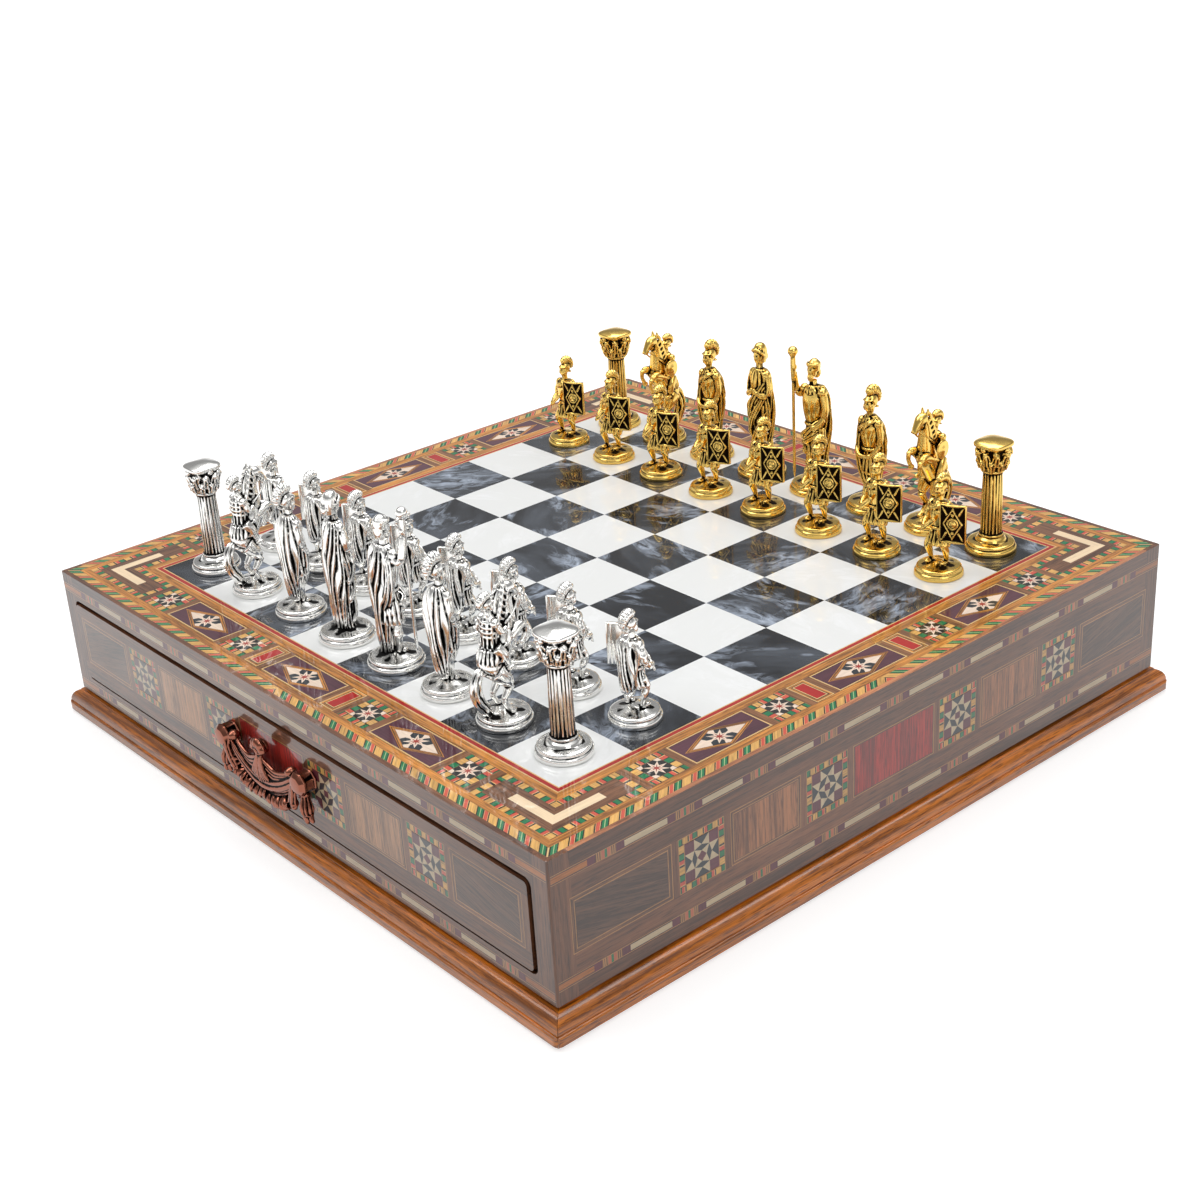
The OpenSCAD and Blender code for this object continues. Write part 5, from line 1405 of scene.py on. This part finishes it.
def knightForms():
    forms = [baseForm(25.6)]
    for z in np.linspace(38.6, 49.6, 6):  # bands of the rider's cuirass
        k = 1 + 0.14 * math.cos((z - 46) * 0.4)
        forms.append(oval([(z - 0.7, 4.2 * k, 3.4 * k, -4.3), (z - 0.3, 4.6 * k, 3.8 * k, -4.3),
                           (z + 0.5, 4.6 * k, 3.8 * k, -4.3), (z + 0.8, 4.2 * k, 3.4 * k,
                                                               -4.3)], steps=14))
    for s in (-1, 1):
        forms += [
            # hind leg: thigh, shank, cannon and hoof
            tube([(s * 3, -5.4, 27.5), (s * 4.2, -1.6, 23), (s * 4.2, 1.8, 18.8)], [5, 4, 2.3]),
            tube([(s * 4.2, 1.8, 19.2), (s * 4.3, -0.4, 15.6), (s * 4.3, -2.9, 12.4)], [2.4, 1.9, 1.4]),
            tube([(s * 4.3, -2.9, 12.8), (s * 4.4, -1.2, 9.4), (s * 4.5, 0.6, 6.6)], [1.5, 1.2, 1.5]),
            ball((s * 4.5, 1.4, 6.4), (1.9, 2.3, 1.2)),
            # foreleg: raised forearm, bent cannon and hoof, higher on one side
            tube([(s * 3.2, 3.6, 40), (s * 3.9, 8.4, 42.4 + s), (s * 3.9, 12.4, 42 + 2 * s)],
                 [3.5, 2.5, 1.6]),
            tube([(s * 3.9, 12.4, 42.4 + 2 * s), (s * 3.9, 13, 38.4 + 2 * s),
                  (s * 3.7, 11.4, 34.6 + 2 * s)], [1.6, 1.2, 1.3]),
            ball((s * 3.7, 10.8, 33.8 + 2 * s), (1.6, 1.9, 1.4)),
            tube([(s * 1.3, 5, 62.4), (s * 1.9, 4.4, 64.6), (s * 1.9, 4.6, 66.6)], [1, 0.9, 0.3]),
            ball((s * 1.8, 9.4, 60.8), (0.7, 0.8, 0.7)), ball((s * 1.1, 13.6, 55.6), (0.7, 0.7, 0.7)),
            # rein, rider's leg and arm
            tube([(s * 2, 12, 56.4), (s * 4.6, 7, 52), (s * 4.8, 1.2, 47.4)], [0.5, 0.5, 0.5], sides=8),
            tube([(s * 4.4, -5, 38.6), (s * 6.4, -2, 34.6), (s * 6.7, 0.2, 29)], [2.9, 2.3, 1.6]),
            ball((s * 6.8, 1.6, 27.6), (1.3, 2.6, 1.2)),
            ball((s * 4.8, -4.4, 49.6), (2.2, 2.3, 2.1)),
        ]
        # curls of the mane, each an arc that starts on the neck's ridge and turns back on itself
        for i in range(8):
            f = i / 7
            root = np.array([s * (0.8 + 0.9 * math.sin(f * 3)), 2 + 3.4 * f ** 1.4 - 3 * (1 - f) * 0.5,
                             45 + 17.5 * f])
            a = np.linspace(0, 1.45 * np.pi, 9)
            size = 2.5 - 0.5 * f
            curl = root + np.stack([s * (1.1 * np.sin(a * 0.66) + 0.7), -size * np.sin(a) - 0.5,
                                    size * (np.cos(a) - 1) + 1.5], 1)
            forms.append(tube(curl, np.linspace(1.05, 0.5, 9), steps=24, sides=10, folds=3, depth=0.16))
    forms += [
        tube([(0, -7.6, 25.5), (0, -5.6, 28), (0, -1, 34), (0, 2.6, 40), (0, 4.2, 46)],
             [5.4, 6.5, 5.9, 6.1, 4.8], sides=24),
        tube([(0, 3.2, 43), (0, 3.4, 49.5), (0, 3.9, 56), (0, 6, 61.2)], [5.4, 4.5, 3.6, 2.9],
             sides=20),
        tube([(0, 4.4, 61.4), (0, 8.2, 61), (0, 11.4, 57.8), (0, 13.4, 54.6)], [2.9, 3, 2.1, 1.7],
             sides=18),
        ball((0, 8.2, 58.6), (2.2, 2.9, 2.4)),
        tube([(0, 12.6, 54.4), (0, 12.2, 55.2)], [1.4, 1.4]),
        tube([(0, -10.6, 29), (0, -14, 24), (0, -14.4, 17), (0, -11.6, 11), (0, -9, 7.4), (0, -7.4, 6)],
             [1.7, 2.4, 2.7, 2.5, 2, 1.2], folds=6, depth=0.26, twist=5, sides=24, steps=40),
        # harness round the breast
        tube([(-5.9, -1.6, 38), (-4.6, 5.4, 40.4), (0, 8.5, 41.4), (4.6, 5.4, 40.4), (5.9, -1.6, 38)],
             [0.8, 0.8, 0.8, 0.8, 0.8], ripples=16, swell=0.2, steps=60),
        # saddle cloth and rider
        oval([(31.6, 6.9, 4.6, -3.4), (35, 6.6, 4.4, -3.8), (38, 5.2, 4.2, -4.2)], 14, 0.12),
        oval([(36.4, 5.2, 4.2, -4.4), (40, 4.4, 3.7, -4.4), (45, 5, 3.9, -4.2), (49.4, 5.2, 3.4, -4.4),
              (52, 2.4, 2.2, -4.4)], 12, 0.07),
        oval([(31, 5.8, 4.6, -6.2), (34, 5.4, 4.4, -6), (37, 4.6, 4, -5.4)], 15, 0.18),
        tube([(0, -4.4, 50.4), (0, -4.2, 54)], [1.7, 1.6]),
        tube([(4.9, -4.2, 49.2), (6.4, -2, 45), (5.4, 1.4, 46.6)], [1.8, 1.5, 1.2]),
        tube([(-4.9, -4.2, 49.2), (-6.8, -2.8, 45), (-6.4, 0, 44.4)], [1.8, 1.5, 1.2]),
        ball((-8, -1, 44.6), (0.8, 4.9, 4.9), box=0.9), ball((-8.6, -1, 44.6), (0.9, 2, 2)),
        ball((-8.4, -1, 44.6), (0.6, 3.6, 3.6)),
    ]
    return forms[:1] + slim(forms[1:] + crestedHead(56.6, 2.6, y=-4.2), 0.94)


menLook = {  # forms, columns, triangles of one man
    "pawns": (pawnForms, range(8), 19000), "rooks": (rookForms, (0, 7), 30000),
    "knights": (knightForms, (1, 6), 30000), "bishops": (bishopForms, (2, 5), 24000),
    "queen": (queenForms, (3,), 26000), "king": (kingForms, (4,), 28000),
}
ranks = {  # first row of a side, the step to its pawns, the turn, the look
    "silver": (0, 1, 0, silverPlate), "gold": (7, -1, math.pi, goldPlate),
}
squareMiddle = (squareLook["count"] - 1) / 2
for kind, (forms, columns, count) in menLook.items():
    skin = fused(kind, forms(), count)
    hollow = hollows(*skin)
    for side, (rank, step, angle, metal) in ranks.items():
        row = rank + (step if kind == "pawns" else 0)
        spots = [((c - squareMiddle) * squareLook["side"], (row - squareMiddle) * squareLook["side"],
                  boardTop, angle) for c in columns]
        name = f"{side}_{kind}"
        castPiece(name, skin, hollow, spots, metal, name)
    print("stage: men,", kind, len(skin[1]), "triangles each")

# ---- the pulls: posts, knotted swag, leaf hem and tassels, cast in one; y is minus the
# distance from the drawer face and z is counted from the posts' axis

pullLook = {  # height of the posts' axis, the share of the reach from the face
    "height": 51.5, "reach": 0.983, "triangles": 52000,
}


def swagRidge(low, end, reach, out, radii):
    # height is low plus (end minus low) times |x / reach| to a power; it bulges at the middle
    power, bulge = 1.9, 0.6
    x = np.linspace(-reach, reach, 13)
    f = np.abs(x / reach)
    path = np.stack([x, -out - bulge * (1 - f ** 2), low + (end - low) * f ** power], 1)
    r = np.interp(f, [0, 0.5, 1], radii)
    return tube(path, r, steps=90)


def pullForms():
    forms = []
    eight = np.repeat(np.arange(8), 6) + np.tile(np.linspace(0, 1, 6, endpoint=False), 8)
    a, b = np.floor(eight), eight - np.floor(eight)
    corner = lambda k: np.stack([np.cos((k + 0.5) * np.pi / 4), np.sin((k + 0.5) * np.pi / 4)])
    ring = corner(a) * (1 - b) + corner(a + 1) * b  # points along the sides of an octagon
    steps = np.array([(0, 5.3), (0.6, 6.1), (1.2, 6.1), (1.6, 5.6), (5.8, 5.6), (6.1, 6.1), (7, 6.1),
                      (8.9, 4.2),
                      (9.1, 2)])
    for s in (-1, 1):
        x = s * 32
        forms.append(np.stack([x + steps[:, 1:] * ring[0], -steps[:, :1] + 0 * ring[0],
                               steps[:, 1:] * ring[1] * 0.95], -1))
        forms += [
            # collar, knob and its neck
            tube([(s * 29, -4.2, 1.6), (s * 25.6, -4.6, 2.2)], [2.2, 1.9]),
            ball((s * 24.4, -5, 2.6), (2.5, 2.9, 2.5)), ball((s * 24.3, -7.1, 2.7), (1.5, 1.2, 1.5)),
            # tassel: neck ring, ribbed skirt and three flared tips
            ball((s * 32.8, -4.4, -6), (2.4, 2.4, 1)),
            tube([(s * 32.4, -4.4, -4.6), (s * 33, -4.6, -8.4), (s * 33.6, -5, -12.6),
                  (s * 34.2, -4.8, -15.6)],
                 [1.5, 2, 2.9, 2.5], folds=8, depth=0.22, sides=40, steps=36),
            ball((s * 34.1, -4.8, -15.4), (2.9, 2.6, 0.7)),
            tube([(s * 32.8, -5, -15), (s * 32.2, -5.6, -17.6), (s * 31.2, -5.4, -19.4)],
                 [1.2, 1.2, 0.7]),
            tube([(s * 34.3, -5.4, -15), (s * 34.6, -6.2, -18), (s * 34.6, -5.8, -19.9)],
                 [1.2, 1.3, 0.7]),
            tube([(s * 35.8, -4.6, -15), (s * 36.8, -5, -17.4), (s * 37.9, -4.8, -18.8)],
                 [1.2, 1.2, 0.7]),
            # strap that falls from the post over the end of the swag
            tube([(s * 28.6, -6.4, 2), (s * 28.4, -7.6, -3), (s * 26.6, -7.4, -8.6),
                  (s * 24.6, -6.6, -13.6),
                  (s * 25.4, -5.6, -16.6)], [1.5, 1.8, 2, 2.1,
                                             1.1], folds=5, depth=0.22, flat=0.7, sides=24, steps=40),
        ]
    # the swag: cloth in nested ridges, the upper ones drawn up to the knot
    forms += [swagRidge(-13.2, -1.4, 27.5, 5.4, (2.3, 1.9, 1.6)),
              swagRidge(-16.4, -4.4, 28, 4.4, (1.5, 1.4, 1.2)),
              swagRidge(-10.6, 0.2, 26.4, 6.2, (1.1, 1.1, 0.9)), swagRidge(-14.9, -3, 28, 5.6,
                                                                           (0.8, 0.9, 0.8))]
    for s in (-1, 1):
        for k, (x, z) in enumerate(((2.6, -6.9), (2.2, -4.4), (1.8, -2), (1.4, 0.4))):
            forms.append(tube([(s * (25.4 - 0.4 * k), -4.6, 0.8 + 0.5 * k),
                               (s * 19, -5.4, -4.2 + 1.1 * k),
                               (s * 11, -6, -7.8 + 1.7 * k), (s * (x + 3), -6.4, z - 0.9), (s * x * 0.6,
                                                                                            -6.2, z + 0.8)],
                              [0.7, 0.9, 1.05, 1, 0.7], steps=60, sides=12))
        forms.append(tube([(s * 25, -3.6, -0.6), (s * 17, -4.2, -6), (s * 8, -4.8, -8.6),
                           (0, -4.9, -9.2)],
                          [1.5, 2.6, 3.1, 3.2], steps=50, flat=0.5, sides=18))
        # folds that fall from the knot over the middle of the swag
        for k in range(4):
            forms.append(tube([(s * (0.3 + 0.3 * k), -6.4, 3.4), (s * (0.6 + 0.8 * k), -7.4, -2),
                               (s * (0.9 + 1.5 * k), -7.6, -8.4 + 0.5 * k), (s * (1 + 2 * k), -6.9,
                                                                             -13.2 + 1.3 * k)],
                              [0.7, 0.95, 1, 0.45], steps=40, sides=10))
        # draped leaves of the hem: wide ribbed fans that overlap
        for x, z, lean, size in ((4.6, -16.2, 0.22, 1), (11, -15.6, 0.5, 1.05), (17, -13.4, 0.8, 1.05),
                                 (22.4, -10.4, 1.05, 0.95)):
            dx, dz = s * math.sin(lean), -math.cos(lean)
            forms.append(tube([(s * x, -4, z), (s * x + 2 * dx * size, -5.8, z + 2 * dz * size),
                               (s * x + 4.2 * dx * size, -6.6, z + 3.8 * dz * size),
                               (s * x + 6.6 * dx * size, -5.2, z + 4.6 * dz * size)],
                              np.array([1.6, 3.7, 3.6,
                                        0.7]) * size, folds=7, depth=0.30, flat=0.42, sides=42, steps=34))
    forms.append(tube([(0, -4.6, -15), (0, -6.8, -17.8), (0, -6.2, -20.4)], [1.8, 2.9, 0.8], folds=6,
                      depth=0.28,
                      flat=0.6, sides=36))
    # the knot: lobes in a fan over a bound neck
    for angle, size in ((-74, 2.2), (-38, 2.5), (0, 2.7), (38, 2.5), (74, 2.2)):
        a = math.radians(angle)
        forms.append(tube([(1.2 * math.sin(a), -6, 4.6 + math.cos(a)),
                           (3.4 * math.sin(a), -6.9, 4.8 + 3.4 * math.cos(a)),
                           (4.9 * math.sin(a), -5.6, 4.9 + 5 * math.cos(a))], [1.2, size * 0.86,
                                                                               size * 0.8], sides=18))
    forms += [ball((0, -4.6, 6), (4.6, 2.6, 3.6)), ball((0, -6.6, 3.6), (2.6, 1.9, 1)),
              ball((0, -7.6, 5.2), (1.7, 1.4, 1.6))]
    return [form * (1, pullLook["reach"], 1) for form in forms]


pullSkin = fused("pull", pullForms(), pullLook["triangles"], 1)
pullHollow = hollows(*pullSkin)
for end, y, angle in (("front", -faceLook["drawers"], 0.0), ("back", faceLook["drawers"], math.pi)):
    castPiece(end + "_pull", pullSkin, pullHollow, [(0, y, pullLook["height"], angle)], copperPlate,
              end + "_drawer")
print("stage: pulls,", len(pullSkin[1]), "triangles each")


# ---- felt: the linings in the drawers and the pads under the corners

liningLook = {"wide": 356.4, "deep": 172.8, "thick": 0.9, "floor": 27.0, "front": -187.8,
              "columns": 360, "rows": 46, "rounding": 0.3, "wave": 0.05}
padLook = {"across": 16.0, "thick": 1.0, "sides": 48, "place": 189.0}


def liningGrid(end):
    # a closed cloth: columns go round the rectangle's edge, rows go from the middle of the
    # underside out over the rounded edge to the middle of the top, which has shallow waves
    look = liningLook
    w, d, t, r = look["wide"] / 2, look["deep"] / 2, look["thick"], look["rounding"]
    a = np.linspace(0, 2 * np.pi, look["columns"], endpoint=False)
    c, s = np.cos(a), np.sin(a)
    rim = 1 / np.maximum(np.abs(c) / w, np.abs(s) / d)  # to the rectangle's edge, by angle
    edge = np.stack([rim * c, rim * s], -1)
    half = (look["rows"] - 10) // 2
    out = np.linspace(0, 1, half) ** 0.8
    turn = np.linspace(0, np.pi, 10)
    reach = np.concatenate([out, np.ones(10), out[::-1]])
    inset = np.concatenate([np.full(half, r), r - r * np.sin(turn), np.full(half, r)])
    height = np.concatenate([np.zeros(half), (1 - np.cos(turn)) / 2 * t, np.full(half, t)])
    size = np.array([w, d])
    place = edge[None] * reach[:, None, None] * (1 - inset[:, None, None] / size)
    x, y = place[..., 0], place[..., 1]
    wave = look["wave"] * (np.sin(x / 23.0) * np.sin(y / 17.0) - 1) * (height > t * 0.98)[:, None] * (
        1 - reach[:, None] ** 8)
    z = look["floor"] + height[:, None] + wave
    y = y + look["front"] + d
    return np.stack([x, y * end, z] if end > 0 else [-x, -y, z], -1)


def feltPiece(name, grids, body, replaced):
    # grids are closed: the first and last rows are single points, and the columns go round
    points, faces, start = [], [], 0
    for grid in grids:
        rows, cols = grid.shape[:2]
        inner = grid[1:-1].reshape(-1, 3)
        points += [grid[:1, 0], inner, grid[-1:, 0]]
        i = np.arange(cols)
        j = (i + 1) % cols
        k = (np.arange(rows - 3) * cols)[:, None] + start + 1
        faces += np.stack([k + i, k + cols + i, k + cols + j, k + j], -1).reshape(-1, 4)[:,
                                                                                         ::-1].tolist()
        last = start + 1 + (rows - 3) * cols
        faces += np.stack([np.full(cols, start), start + 1 + i, start + 1 + j], -1)[:, ::-1].tolist()
        faces += np.stack([last + i, np.full(cols, last + cols), last + j], -1)[:, ::-1].tolist()
        start = last + cols + 1
    return newPiece(name, np.concatenate(points), faces, greenFelt, body, [replaced],
                    smooth=True)


def padGrid(x, y):
    # a felt disc: a rounded profile carried round a circle, pressed flat above and below
    radius, thick = padLook["across"] / 2, padLook["thick"]
    turn = np.linspace(-np.pi / 2, np.pi / 2, 9)
    r = np.concatenate([[0, radius * 0.5], radius - thick * 0.4 * (1 - np.cos(turn)),
                        [radius * 0.5, 0]])
    z = np.concatenate([[0, 0], (1 + np.sin(turn)) / 2 * thick, [thick, thick]])
    a = np.linspace(0, 2 * np.pi, padLook["sides"], endpoint=False)
    return np.stack([x + r[:, None] * np.cos(a), y + r[:, None] * np.sin(a), z[:, None] + 0 * a], -1)


for end, turn in (("front", 1), ("back", -1)):
    lining = feltPiece(end + "_felt_lining", [liningGrid(turn)], end + "_drawer",
                       end + "_drawer_lining")
q = padLook["place"]
pads = feltPiece("felt_pads", [padGrid(x, y) for x in (-q, q) for y in (-q, q)], "casing", "foot_pads")
print("stage: felt")
